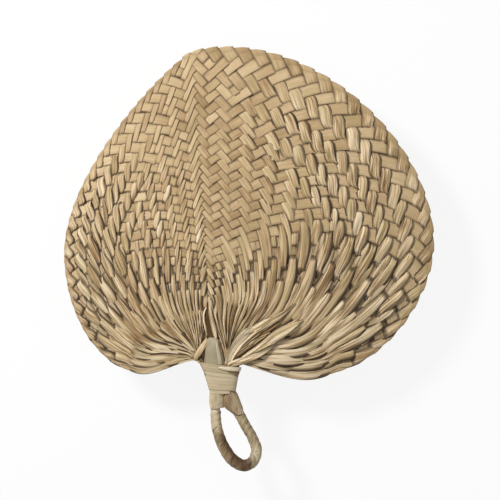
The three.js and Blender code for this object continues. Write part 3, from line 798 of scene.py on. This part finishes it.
makeGather("rightGather", 1, "right_gather")
makeGather("leftGather", -1, "left_gather")

# loose leaves, each with knots: pixel x, pixel y, lift above the ground, width, roll in degrees
looseGrid = {"rows": 48, "columns": 9, "leastWidth": 0.3, "creaseRoam": 0.5, "toneDrift": 0.06,
             "waves": 5, "waveRoam": 5}
# loose leaves get painted shade along their edges, and sheets dark with painted shade get a lighter back by
# backTone
plainLook = {"fold": 0.12, "edge": 0.3, "stain": 0, "crinkle": 1, "backTone": 0}


def looseLeaf(name, slot, look, knots, ground=bladeHeight):
    rows, count = looseGrid["rows"], looseGrid["columns"]
    knots = np.array(knots, float)
    knots[:, :2] = np.array([fromPixel(x, y) for x, y in knots[:, :2]])
    path = routeThrough(knots, rows)
    plan, lift = path[:, :2], path[:, 2]
    width, roll = np.maximum(path[:, 3], looseGrid["leastWidth"]), np.radians(path[:, 4])
    heading = unit(np.gradient(plan, axis=0))
    side = np.stack([-heading[:, 1], heading[:, 0]], -1)
    k = np.linspace(-1, 1, count)[None, :]
    reach = k * width[:, None] / 2
    spot = plan[:, None] + side[:, None] * (reach * np.cos(roll)[:, None])[..., None]
    crease = looseGrid["creaseRoam"] * wander(rows, 20)[:, None]
    bent = look["crown"] * width[:, None] * (1 - np.abs(k - crease) / (1 + np.abs(crease)))
    z = ground(plan)[:, None] + lift[:, None] + reach * np.sin(roll)[:, None] + bent
    roam = looseGrid["waveRoam"] * wander(rows, 12)[:, None]
    z = z + look["fold"] * np.sin(k * looseGrid["waves"] + roam)
    grid = np.concatenate([spot, z[..., None]], -1)
    paint = evenPaint(rows, count, look["tone"], look["edge"], look["stain"], look["crinkle"])
    paint[..., 0] += looseGrid["toneDrift"] * wander(rows, 8)[:, None]
    back = paint + (look["backTone"], 0, 0, 0)
    uvShift = len(name) * 11 + look["tone"] * 50  # other fibres on each leaf
    return leafSolid(name, grid, look["thick"], slot, paint, back, uvShift)


def bentLeaves(leaves, common):  # loose leaves, each with its place baked into its mesh
    made = {}
    for name, (slot, look, knots) in leaves.items():
        made[name] = looseLeaf(name, slot, {**common, **look}, knots)
        bendWithNeck(made[name])
    return made


# the grey tongue that stands out of the mouth of the neck, with a fold along its right side
tongue = {
    "greyTongue": ("grey_leaf", {"crown": 0.05, "tone": 0.5, "thick": 0.8, "crinkle": 0.2}, [
        (214.7, 374, 3, 16.4, 0), (214.5, 362, 3.4, 16.4, 0), (213.5, 352, 3.4, 13.4, 0),
        (213, 345, 3, 11, 0), (212.9, 340, 2.4, 9.6, 0), (213, 337.2, 1.8, 6, 0)]),
    "tongueFold": ("grey_leaf", {"crown": 0.12, "tone": 0.8, "thick": 0.5, "edge": 0.6}, [
        (221.4, 374, 3.8, 3.4, -14), (220.4, 362, 4.2, 3.6, -14), (218.4, 351, 4, 3, -16),
        (216.8, 343, 3.4, 2, -12), (216, 339.5, 2.8, 0.8, 0)])}
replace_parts(bentLeaves(tongue, plainLook)["greyTongue"], "tongue")

# the twisted bunch of leaf ends over the right gather
bunch = {
    "bunchLow": ("strip_leaf", {"crown": 0.16, "tone": 0.9, "thick": 0.5, "edge": 0.75}, [
        (226, 369, 3.6, 3, 0), (230, 364, 5, 4.6, 15), (240, 360.5, 5.6, 6, 12),
        (249, 357.5, 5.2, 6.4, 0), (262, 351.5, 4.2, 4.8, -12), (276, 343, 2.6, 0.8, 0)]),
    "bunchGrey": ("binding_leaf", {"crown": 0.14, "tone": 0.5, "thick": 0.5}, [
        (226, 370, 2.8, 4, 10), (229, 358, 4.6, 5.4, 18), (238, 343, 4.8, 8.4, 14),
        (247, 332.5, 4, 8, 0), (253, 327, 3, 3.4, -12), (257, 323, 2.4, 0.8, -20)]),
    "bunchGreyTip": ("strip_leaf", {"crown": 0.16, "tone": 0.62, "thick": 0.5}, [
        (238, 346, 2.6, 2, 0), (249, 333, 3.4, 4.2, -25), (259, 325.5, 3.6, 5.4, -18),
        (268, 320, 3, 3.6, 0), (274, 316.5, 2.4, 0.8, 10)]),
    "bunchInner": ("strip_leaf", {"crown": 0.2, "tone": 0.7, "thick": 0.45, "edge": 0.7}, [
        (227, 370, 2.4, 3, 0), (232, 360, 4, 3.6, 25), (243, 349.5, 4.6, 3.8, 34),
        (257, 340, 4, 3.6, 14), (270, 332, 2.6, 0.8, 0)]),
    "bunchRib": ("strip_leaf", {"crown": 0.22, "tone": 0.58, "thick": 0.45, "edge": 0.75}, [
        (227, 370, 2.4, 2.6, 0), (231, 357, 4.2, 3.2, -30), (240, 346.5, 4.4, 3.4, -20),
        (253, 336.5, 4, 3.2, 10), (267, 327, 2.8, 0.8, 20)]),
    "bunchDark": ("inner_leaf", {"crown": 0.1, "tone": 0.4, "thick": 0.45}, [
        (228, 370, 1.4, 4, 0), (236, 356, 2.8, 6, 10), (250, 343, 2.8, 7, 10), (266, 331, 2.2, 5, 0),
        (280, 322, 1.6, 1, 0)]),
    "bunchLong": ("strip_leaf", {"crown": 0.15, "tone": 0.88, "thick": 0.5, "edge": 0.7}, [
        (238, 360, 2.4, 2, 0), (252, 351, 3.6, 4, 15), (264, 343.5, 4.6, 6.4, 18),
        (275, 336, 5, 8.6, 6), (286, 329, 4.4, 7.8, -10), (295, 323.6, 3.2, 4.4, -18),
        (302.5, 319.5, 2.2, 0.8, -20)]),
    "bunchThinLow": ("strip_leaf", {"crown": 0.3, "tone": 0.78, "thick": 0.4, "edge": 0.85, "fold": 0.2}, [
        (228, 368, 4, 2, 0), (241, 358.5, 5.6, 2.6, 40), (256, 348, 5.4, 2.8, -30),
        (272, 337, 3.6, 0.8, 0)]),
    "bunchThinMid": ("strip_leaf", {"crown": 0.3, "tone": 0.72, "thick": 0.4, "edge": 0.85, "fold": 0.2}, [
        (228, 367, 4, 1.8, 0), (235, 353, 5.6, 2.4, -35), (245, 341, 5.8, 2.6, 30),
        (257, 331, 4.8, 2.2, -20), (268, 325, 3.4, 0.8, 0)]),
    "bunchThinLong": ("strip_leaf", {"crown": 0.3, "tone": 0.66, "thick": 0.4, "edge": 0.85, "fold": 0.2}, [
        (231, 365, 4, 2, 0), (246, 355, 5.6, 2.2, 35), (264, 346, 5.4, 2.4, -30),
        (284, 337, 3.4, 0.8, 10)]),
    "bunchTwist": ("strip_leaf", {"crown": 0.16, "tone": 0.66, "thick": 0.45, "edge": 0.6}, [
        (229, 369, 2, 3, 0), (244, 344, 3, 3.6, -20), (258, 330, 3.2, 4, -35), (270, 322, 3, 5, -10),
        (284, 312, 2.8, 4, 25), (295, 303, 2, 0.8, 30)])}
for leaf in bentLeaves(bunch, {**plainLook, "fold": 0.5, "edge": 0.6}).values():
    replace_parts(leaf, "leaf_bunch")

# short strips round the foot of the spine and the mouth, with dark sheets of painted shade behind them in
# the gaps and the hole
spineFoot = {
    "spineShade": ("inner_leaf", {"crown": 0.04, "tone": 0.08, "thick": 0.6, "edge": 0.4, "backTone": 1}, [
        (207.5, 302, -1.8, 8, 0), (209.5, 312, -2, 20, 0), (211, 324, -2.1, 28, 0),
        (212.5, 340, -2, 29, 0), (213.5, 354, -1.6, 27, 0), (214.5, 370, -0.4, 18, 0)]),
    "mouthShade": ("inner_leaf", {"crown": 0.06, "tone": 0.14, "thick": 0.6, "edge": 0.5, "backTone": 0.9}, [
        (222, 336, -0.6, 5, 0), (223.5, 347, 0.4, 9, 0), (225, 358, 1.4, 10, 0),
        (226, 371, 1.4, 10, 0)]),
    "spineHole": ("inner_leaf", {"crown": 0.02, "tone": -0.1, "thick": 0.4, "edge": 0.9, "crinkle": 0.4}, [
        (206.5, 303, 0.4, 2, 0), (206.8, 311, 1.6, 6.4, 0), (207.6, 322, 1.9, 8, 0),
        (210.5, 333, 1.8, 7.4, 0), (212, 342, 1, 5, 0)]),
    "spineCurl": ("strip_leaf", {"crown": 0.12, "tone": 0.84, "thick": 0.45}, [
        (206.5, 307, 1.8, 1, 20), (204.2, 313, 2.6, 1.6, 30), (204.2, 320, 2.6, 1.6, 10),
        (205.6, 327, 2.4, 1.4, -10), (207, 335, 1.7, 1, 0)]),
    "spineStrand": ("strip_leaf", {"crown": 0.14, "tone": 0.68, "thick": 0.5}, [
        (210, 306, 1.6, 2, 0), (211, 314, 2.4, 3.2, -10), (213, 324, 2.4, 3.6, -15),
        (215.4, 334, 2, 3, 0), (216.8, 341, 1.2, 1.6, 0)]),
    "mouthSliver": ("strip_leaf", {"crown": 0.2, "tone": 0.5, "thick": 0.4, "edge": 0.6}, [
        (223.5, 371, 2.6, 2.4, 0), (222.6, 360, 3, 2.4, -20), (221, 350, 2.6, 2.2, -25),
        (219, 343, 1.8, 1.6, 0), (217.5, 338, 1, 0.8, 0)]),
    "leftTie": ("strip_leaf", {"crown": 0.16, "tone": 0.6, "thick": 0.5}, [
        (207.5, 338.5, 1.6, 2.6, 0), (204, 344.5, 3, 4.2, 10), (199.5, 351.5, 3.4, 4.6, 14),
        (196.4, 357, 2.4, 3.4, 0), (195.6, 360, 0.8, 1.6, -10)])}
bentLeaves(spineFoot, plainLook)
print("gathers, tongue and loose leaves made")


# the neck: turns of pale leaf wound over the bundle of leaf ends
neck = {"top": 11.6, "foot": -12, "lean": -0.12, "mouthX": -1.2, "footX": 0.7,
        "mouthHalf": 16.6, "footHalf": 10.8, "mouthMiddle": 7, "footMiddle": 6, "flat": 1.05, "boxy": 0.72,
        "turns": 5.4, "overlap": 1.5, "steps": 74, "columns": 9, "start": 205, "thickness": 0.22,
        "inset": 0.75, "lap": 0.08, "sag": 0.2, "wrinkle": 0.05, "ease": 0.08,
        "waves": 5, "waveRoam": 5, "tone": 0.54, "toneDrift": 0.08, "toneSlope": 0.04,
        "footShade": 0.05, "topShade": 0.03, "crinkle": 0.2, "lowest": 0.3}


def neckSize(y):
    share = np.clip((neck["top"] - y) / (neck["top"] - neck["foot"]), 0, 1)
    return [mix(neck["mouth" + part], neck["foot" + part], share) for part in ("X", "Half", "Middle")]


def neckSection(y, angle, out):
    x, half, middle = neckSize(y)
    c, s = np.cos(angle), np.sin(angle)
    x = x + (half + out) * np.sign(c) * np.abs(c) ** neck["boxy"]
    z = middle + (middle + out) * neck["flat"] * np.sign(s) * np.abs(s) ** neck["boxy"]
    lean = neck["lean"] * (x - neck["mouthX"]) * (y - neck["foot"]) / (neck["top"] - neck["foot"])
    return np.stack([x, y + lean, np.maximum(z, neck["lowest"])], -1)


def neckFront(plan):  # height of the binding's front
    x, half, middle = neckSize(plan[..., 1])
    c = np.clip(np.abs(plan[..., 0] - x) / half, 0, 1) ** (1 / neck["boxy"])
    return middle + middle * neck["flat"] * np.sqrt(1 - c * c) ** neck["boxy"]


def makeBinding():
    rows, count = int(neck["turns"] * neck["steps"]), neck["columns"]
    share = np.linspace(0, 1, rows)[:, None]
    pitch = (neck["top"] - neck["foot"]) / neck["turns"]
    k = np.linspace(-1, 1, count)[None, :]
    angle = math.radians(neck["start"]) - share * neck["turns"] * 2 * math.pi
    middle = mix(neck["top"] - pitch / 2, neck["foot"] + pitch / 2, share)
    y = middle - k * pitch * neck["overlap"] / 2 + neck["sag"] * wander(rows, 40)[:, None]
    y = np.clip(y, neck["foot"], neck["top"])
    out = neck["lap"] * (k + 1) / 2 - neck["inset"]
    roam = neck["waveRoam"] * wander(rows, 46)[:, None]
    out = out + neck["wrinkle"] * np.sin(k * neck["waves"] + roam)
    out = out + neck["ease"] * wander(rows, 24)[:, None]
    paint = np.zeros((rows, count, 4))
    # painted shade: each lap is darker towards its lower edge, which lies under the next lap, with a thin
    # dark line at its upper edge
    paint[..., 0] = neck["tone"] + neck["toneDrift"] * wander(rows, 60)[:, None] + neck["toneSlope"] * k
    paint[..., 1] = neck["footShade"] * ease((-k - 0.2) / 0.5) + neck["topShade"] * ease((k - 0.85) / 0.15)
    paint[..., 3] = neck["crinkle"]
    grid = neckSection(y, angle + 0 * k, out)
    piece = leafSolid("neckBinding", grid, neck["thickness"], "binding_leaf", paint)
    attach(piece, "handle")
    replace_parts(piece, "neck_binding")


makeBinding()
# the last turn is folded over at the upper right, with a dark brown sheet below it: painted shadow of the
# fold on brown leaf
folds = {
    "bindingFold": ("binding_leaf", {"crown": 0.06, "tone": 0.86, "thick": 0.5, "edge": 0.15}, [
        (219, 366.2, 0.2, 1.4, 0), (226, 367.2, 0.5, 3, 0), (234, 367.9, 0.7, 3.6, 0),
        (239.5, 368.4, 0.7, 3.6, 0), (241, 368.8, 0.2, 3, 0)]),
    "bindingShade": ("binding_leaf", {"crown": 0.03, "tone": 0.2, "thick": 0.4, "edge": 0.2, "stain": 0.6}, [
        (228, 370, 0.1, 0.6, 0), (232, 370.9, 0.25, 2, 0), (236, 372, 0.3, 3.8, 0),
        (239, 373, 0.1, 5, 0)])}
for name, (slot, look, knots) in folds.items():
    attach(looseLeaf(name, slot, {**plainLook, **look}, knots, neckFront), "handle")

# the loop: a leaf wound round the twisted core along the loop's way
loop = {
    "way": [(-4, 0), (-5, 17), (-3.4, 30), (1.5, 43), (8.5, 53), (17.5, 58), (25.2, 54.5), (28, 46),
            (25.6, 37), (20, 27), (14, 16), (9.2, 7), (7.4, -2.6)],
    "topY": -12.65, "height": 6, "points": 400,
    # the wrap: from and to are shares of the loop's length
    "from": 0.03, "to": 0.97, "turns": 7.6, "steps": 78, "columns": 31, "overlap": 1.35, "radius": 4.1,
    "lap": 0.25, "start": 0.6, "wrinkle": 0.13, "waves": 13, "thickness": 0.4,
    "bulge": 0.17, "bulgeAt": 0.42, "bulgeReach": 0.15, "tone": 0.36, "stain": 0.2, "crinkle": 0.5,
    "waveRoam": 6, "toneDrift": 0.2, "toneSlope": 0.05, "crumpleTone": 0.07, "crumpleShade": 0.3,
    "edgeShade": 0.3, "mostShade": 0.9, "lowest": 0.3,
    # lines from pixel to pixel with a reach in millimetres, and what they add to tone, painted shade and
    # stain
    "shades": {
        "brown": ([((226, 438), (238, 455), 5.4), ((238, 456), (246, 462), 7)], (-0.34, 0.85, 0.3)),
        "highlight": ([((254, 464), (258, 448), 4.5)], (0.5, 0, -0.2)),
        "stripe": ([((216, 408), (218, 428), 2.2)], (0.25, 0, -0.2)),
        "rim": ([((243.5, 405), (259.5, 436), 1.7), ((259.5, 436), (263, 452), 1.7)], (-0.2, 0.4, 0))}}


def nearLine(x, y, start, end, reach):  # 1 on the line, fading away from it
    a, b = fromPixel(*start), fromPixel(*end)
    way = np.clip(((x - a[0]) * (b - a)[0] + (y - a[1]) * (b - a)[1]) / ((b - a) ** 2).sum(), 0, 1)
    return np.exp(-((x - mix(a[0], b[0], way)) ** 2 + (y - mix(a[1], b[1], way)) ** 2) / reach ** 2)


def loopShade(x, y):  # brown leaf and painted shade at the lower left, a painted highlight at the lower right, painted shade on the outer edge
    paint = np.zeros(x.shape + (4,))
    paint[...] = loop["tone"], 0, loop["stain"], loop["crinkle"]
    for lines, gain in loop["shades"].values():
        near = np.max([nearLine(x, y, *line) for line in lines], axis=0)
        paint[..., :3] += near[..., None] * gain
    return paint


def makeLoopWrap():
    path = routeThrough([(x, loop["topY"] - drop) for x, drop in loop["way"]], loop["points"])
    length = np.concatenate([[0], np.linalg.norm(np.diff(path, axis=0), axis=1).cumsum()])
    headings = unit(np.gradient(path, axis=0))
    rows, count = int(loop["turns"] * loop["steps"]), loop["columns"]
    share = np.linspace(0, 1, rows)[:, None]
    k = np.linspace(-1, 1, count)[None, :]
    begin, end = loop["from"] * length[-1], loop["to"] * length[-1]
    pitch = (end - begin) / loop["turns"]
    place = mix(begin + pitch / 2, end - pitch / 2, share) + k * pitch * loop["overlap"] / 2
    place = np.clip(place, begin, end)
    centreX, centreY = (np.interp(place, length, path[:, axis]) for axis in (0, 1))
    headX, headY = (np.interp(place, length, headings[:, axis]) for axis in (0, 1))
    angle = share * loop["turns"] * 2 * math.pi + loop["start"] + 0 * k
    bulge = np.exp(-((place / length[-1] - loop["bulgeAt"]) / loop["bulgeReach"]) ** 2)
    radius = loop["radius"] * (1 + loop["bulge"] * bulge) + loop["lap"] * (k - 1) / 2
    drift = wander(rows, 9)[:, None]
    crumple = drift + np.sin(k * loop["waves"] + loop["waveRoam"] * wander(rows, 24)[:, None])
    radius = radius + loop["wrinkle"] * crumple
    out = np.cos(angle) * radius
    x, y = centreX - headY * out, centreY + headX * out
    z = loop["height"] + np.sin(angle) * radius
    paint = loopShade(x, y)
    # random drift of tone, then painted shade: darker towards each lap's inner edge and along both edges,
    # lighter on the crumples' ridges and darker in their hollows
    paint[..., 0] += loop["toneDrift"] * wander(rows, 22)[:, None] + loop["toneSlope"] * k
    paint[..., 0] += loop["crumpleTone"] * crumple
    paint[..., 1] += loop["edgeShade"] * (ease((-k - 0.5) / 0.3) + ease((k - 0.9) / 0.1))
    paint[..., 1] += loop["crumpleShade"] * ease(-0.6 - crumple)
    paint[..., 1] = np.clip(paint[..., 1], 0, loop["mostShade"])
    grid = np.stack([x, y, np.maximum(z, loop["lowest"])], -1)
    piece = leafSolid("loopWrap", grid, loop["thickness"], "binding_leaf", paint)
    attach(piece, "loop")
    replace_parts(piece, "loop_wrap")


makeLoopWrap()

# flat sleeves of leaf over the tops of the loop's legs, the right one brown and running out on the leg
sleeves = {  # knots of a way: y, middle, half width, half depth
    "legSleeve": {"node": "leg_sleeve", "crinkle": 0.06, "tone": 0.58, "rightTone": 0,
                  "stain": 0, "rim": 0.25,
                  "way": [(-11.4, -4, 5.7, 4.9), (-18, -4.2, 5.9, 4.9), (-23.8, -4.2, 5.4, 4.9)]},
    "rootWrap": {"node": "root_wrap", "crinkle": 0.12, "tone": 0.32, "rightTone": 0.24,
                 "stain": 0.45, "rim": 0.04,
                 "way": [(-8, 5, 3.4, 2.8), (-11.4, 6.3, 5.1, 4.2), (-16, 7.3, 6.3, 4.7), (-21, 8.4, 7, 4.7),
                         (-24.2, 9.9, 6.6, 4.6), (-26, 11.4, 5.6, 4.5), (-29, 13.9, 4.3, 4.2)]}}
sleeveGrid = {"rows": 40, "columns": 49, "reach": 205, "thickness": 0.5, "lap": 0.35, "dent": 0.1,
              "slope": 0.5, "edgeShade": 0.2, "topShade": 0.2, "topOver": 0.08, "rimOver": 0.06,
              "stripeTone": 0.05, "creaseTone": 0.6, "crinkle": (0.3, 3), "lowest": 0.35}


def makeSleeve(name, sleeve):
    rows, count = sleeveGrid["rows"], sleeveGrid["columns"]
    share = np.linspace(0, 1, rows)[:, None]
    around = np.linspace(0, 1, count)[None, :]
    angle = np.radians(mix(-sleeveGrid["reach"], sleeveGrid["reach"], around)) - math.pi / 2
    creases = np.sin(angle * 6 + 5 * share) + np.sin(share * 13 + 2.5 * np.sin(angle * 2))
    out = sleeveGrid["lap"] * around + sleeve["crinkle"] * creases
    out = out + sleeveGrid["dent"] * np.sin(angle * 3 + 1)
    way = routeThrough(sleeve["way"], rows)
    x = way[:, 1:2] + (way[:, 2:3] + out) * np.cos(angle)
    y = way[:, :1] + sleeveGrid["slope"] * share * np.sin(angle * 2 + 0.6)
    z = loop["height"] + (way[:, 3:] + out) * np.sin(angle)
    grid = np.stack([x, y, np.maximum(z, sleeveGrid["lowest"])], -1)
    least, gain = sleeveGrid["crinkle"]
    crinkle = least + gain * sleeve["crinkle"]
    paint = evenPaint(rows, count, sleeve["tone"], sleeveGrid["edgeShade"], sleeve["stain"], crinkle)
    paint[..., 0] += sleeveGrid["stripeTone"] * np.sin(angle * 5)
    # painted shade: lighter on the creases' ridges and darker in their hollows
    paint[..., 0] += sleeveGrid["creaseTone"] * sleeve["crinkle"] * creases
    paint[..., 0] += sleeve["rightTone"] * ease(0.3 + np.cos(angle))
    # painted shade at the top, next to the neck, and at the sleeve's lower end
    paint[..., 1] += sleeveGrid["topShade"] * ease(1 - share / sleeveGrid["topOver"])
    paint[..., 1] += sleeve["rim"] * ease((share - 1) / sleeveGrid["rimOver"] + 1)
    piece = leafSolid(name, grid, sleeveGrid["thickness"], "binding_leaf", paint)
    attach(piece, "loop")
    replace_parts(piece, sleeve["node"])


for name, sleeve in sleeves.items():
    makeSleeve(name, sleeve)


# the cores stay as they are, with a rough inner finish
coreLook = {"stops": [(0.3, (92, 68, 40)), (0.7, (158, 128, 88))], "grain": 420, "detail": 4,
            "roughness": 0.6, "dull": 0.25, "bump": 0.5, "deep": 0.4}


def coreFinish():
    finish = bpy.data.materials.new("leafCore")
    start = blankTree(finish)
    place = start.node("ShaderNodeTexCoord", {}, {}, out="Object")
    noiseValues = {"Vector": place, "Scale": coreLook["grain"], "Detail": coreLook["detail"]}
    grain = start.node("ShaderNodeTexNoise", {}, noiseValues)
    stops = [(at, linear(*colour)) for at, colour in coreLook["stops"]]
    colour = start.node("ShaderNodeValToRGB", {"stops": stops}, {"Fac": grain})
    bumpValues = {"Strength": coreLook["bump"], "Distance": coreLook["deep"] * mm, "Height": grain}
    values = {"Base Color": colour, "Roughness": coreLook["roughness"] + grain * coreLook["dull"],
              "Normal": start.node("ShaderNodeBump", {}, bumpValues)}
    shader = start.node("ShaderNodeBsdfPrincipled", {}, values)
    start.node("ShaderNodeOutputMaterial", {}, {"Surface": shader})
    return finish


core = coreFinish()
for node in ("neck_core", "loop_core"):
    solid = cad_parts[node]
    solid.data.materials.clear()
    solid.data.materials.append(core)
print("neck and loop made")


# stage: a white floor below the blade's swing, and soft light
stage = {"floor": 3.0, "drop": 42, "paper": (0.9, 0.9, 0.9, 1), "dull": 0.9, "white": (1, 1, 1, 1),
         "shadowShare": 0.12, "skyLight": 0.29, "aim": (0.02, 0.12, 0),
         "key": {"place": (-0.7, 0.72, 0.85), "power": 16.0, "size": 0.25},
         "fill": {"place": (0.7, -0.3, 0.9), "power": 2.0, "size": 0.8}}


def makeFloor():
    half, z = stage["floor"] / 2, -stage["drop"] * mm
    mesh = bpy.data.meshes.new("floor")
    corners = [(-half, -half, z), (half, -half, z), (half, half, z), (-half, half, z)]
    mesh.from_pydata(corners, [], [(0, 1, 2, 3)])
    floor = bpy.data.objects.new("floor", mesh)
    bpy.context.collection.objects.link(floor)
    finish = bpy.data.materials.new("whitePaper")
    start = blankTree(finish)
    rays = start.node("ShaderNodeLightPath", {}, {}, out="Is Camera Ray")
    seen = rays + rays.other("Is Glossy Ray") + rays.other("Is Transmission Ray")
    values = {"Base Color": stage["paper"], "Roughness": stage["dull"]}
    paper = start.node("ShaderNodeBsdfPrincipled", {}, values)
    glow = start.node("ShaderNodeEmission", {}, {"Color": stage["white"], "Strength": 1})
    both = start.node("ShaderNodeMixShader", {}, {0: seen * (1 - stage["shadowShare"]), 1: paper, 2: glow})
    under = start.node("ShaderNodeNewGeometry", {}, {}, out="Backfacing")
    clear = start.node("ShaderNodeBsdfTransparent", {}, {})
    sided = start.node("ShaderNodeMixShader", {}, {0: under, 1: both, 2: clear})  # clear from below
    start.node("ShaderNodeOutputMaterial", {}, {"Surface": sided})
    mesh.materials.append(finish)


def makeLight(name):
    lamp = bpy.data.lights.new(name, "AREA")
    lamp.energy = stage[name]["power"]
    lamp.size = stage[name]["size"]
    holder = bpy.data.objects.new(name, lamp)
    holder.location = stage[name]["place"]
    aim = Vector(stage["aim"]) - Vector(stage[name]["place"])
    holder.rotation_euler = aim.to_track_quat("-Z", "Y").to_euler()
    bpy.context.collection.objects.link(holder)


def makeSky():
    world = bpy.data.worlds.new("sky")
    bpy.context.scene.world = world
    start = blankTree(world)
    rays = start.node("ShaderNodeLightPath", {}, {}, out="Is Camera Ray")
    strength = rays * (1 - stage["skyLight"]) + stage["skyLight"]
    sky = start.node("ShaderNodeBackground", {}, {"Color": stage["white"], "Strength": strength})
    start.node("ShaderNodeOutputWorld", {}, {"Surface": sky})


makeCamera()
makeFloor()
makeSky()
makeLight("key")
makeLight("fill")
print("stage made")
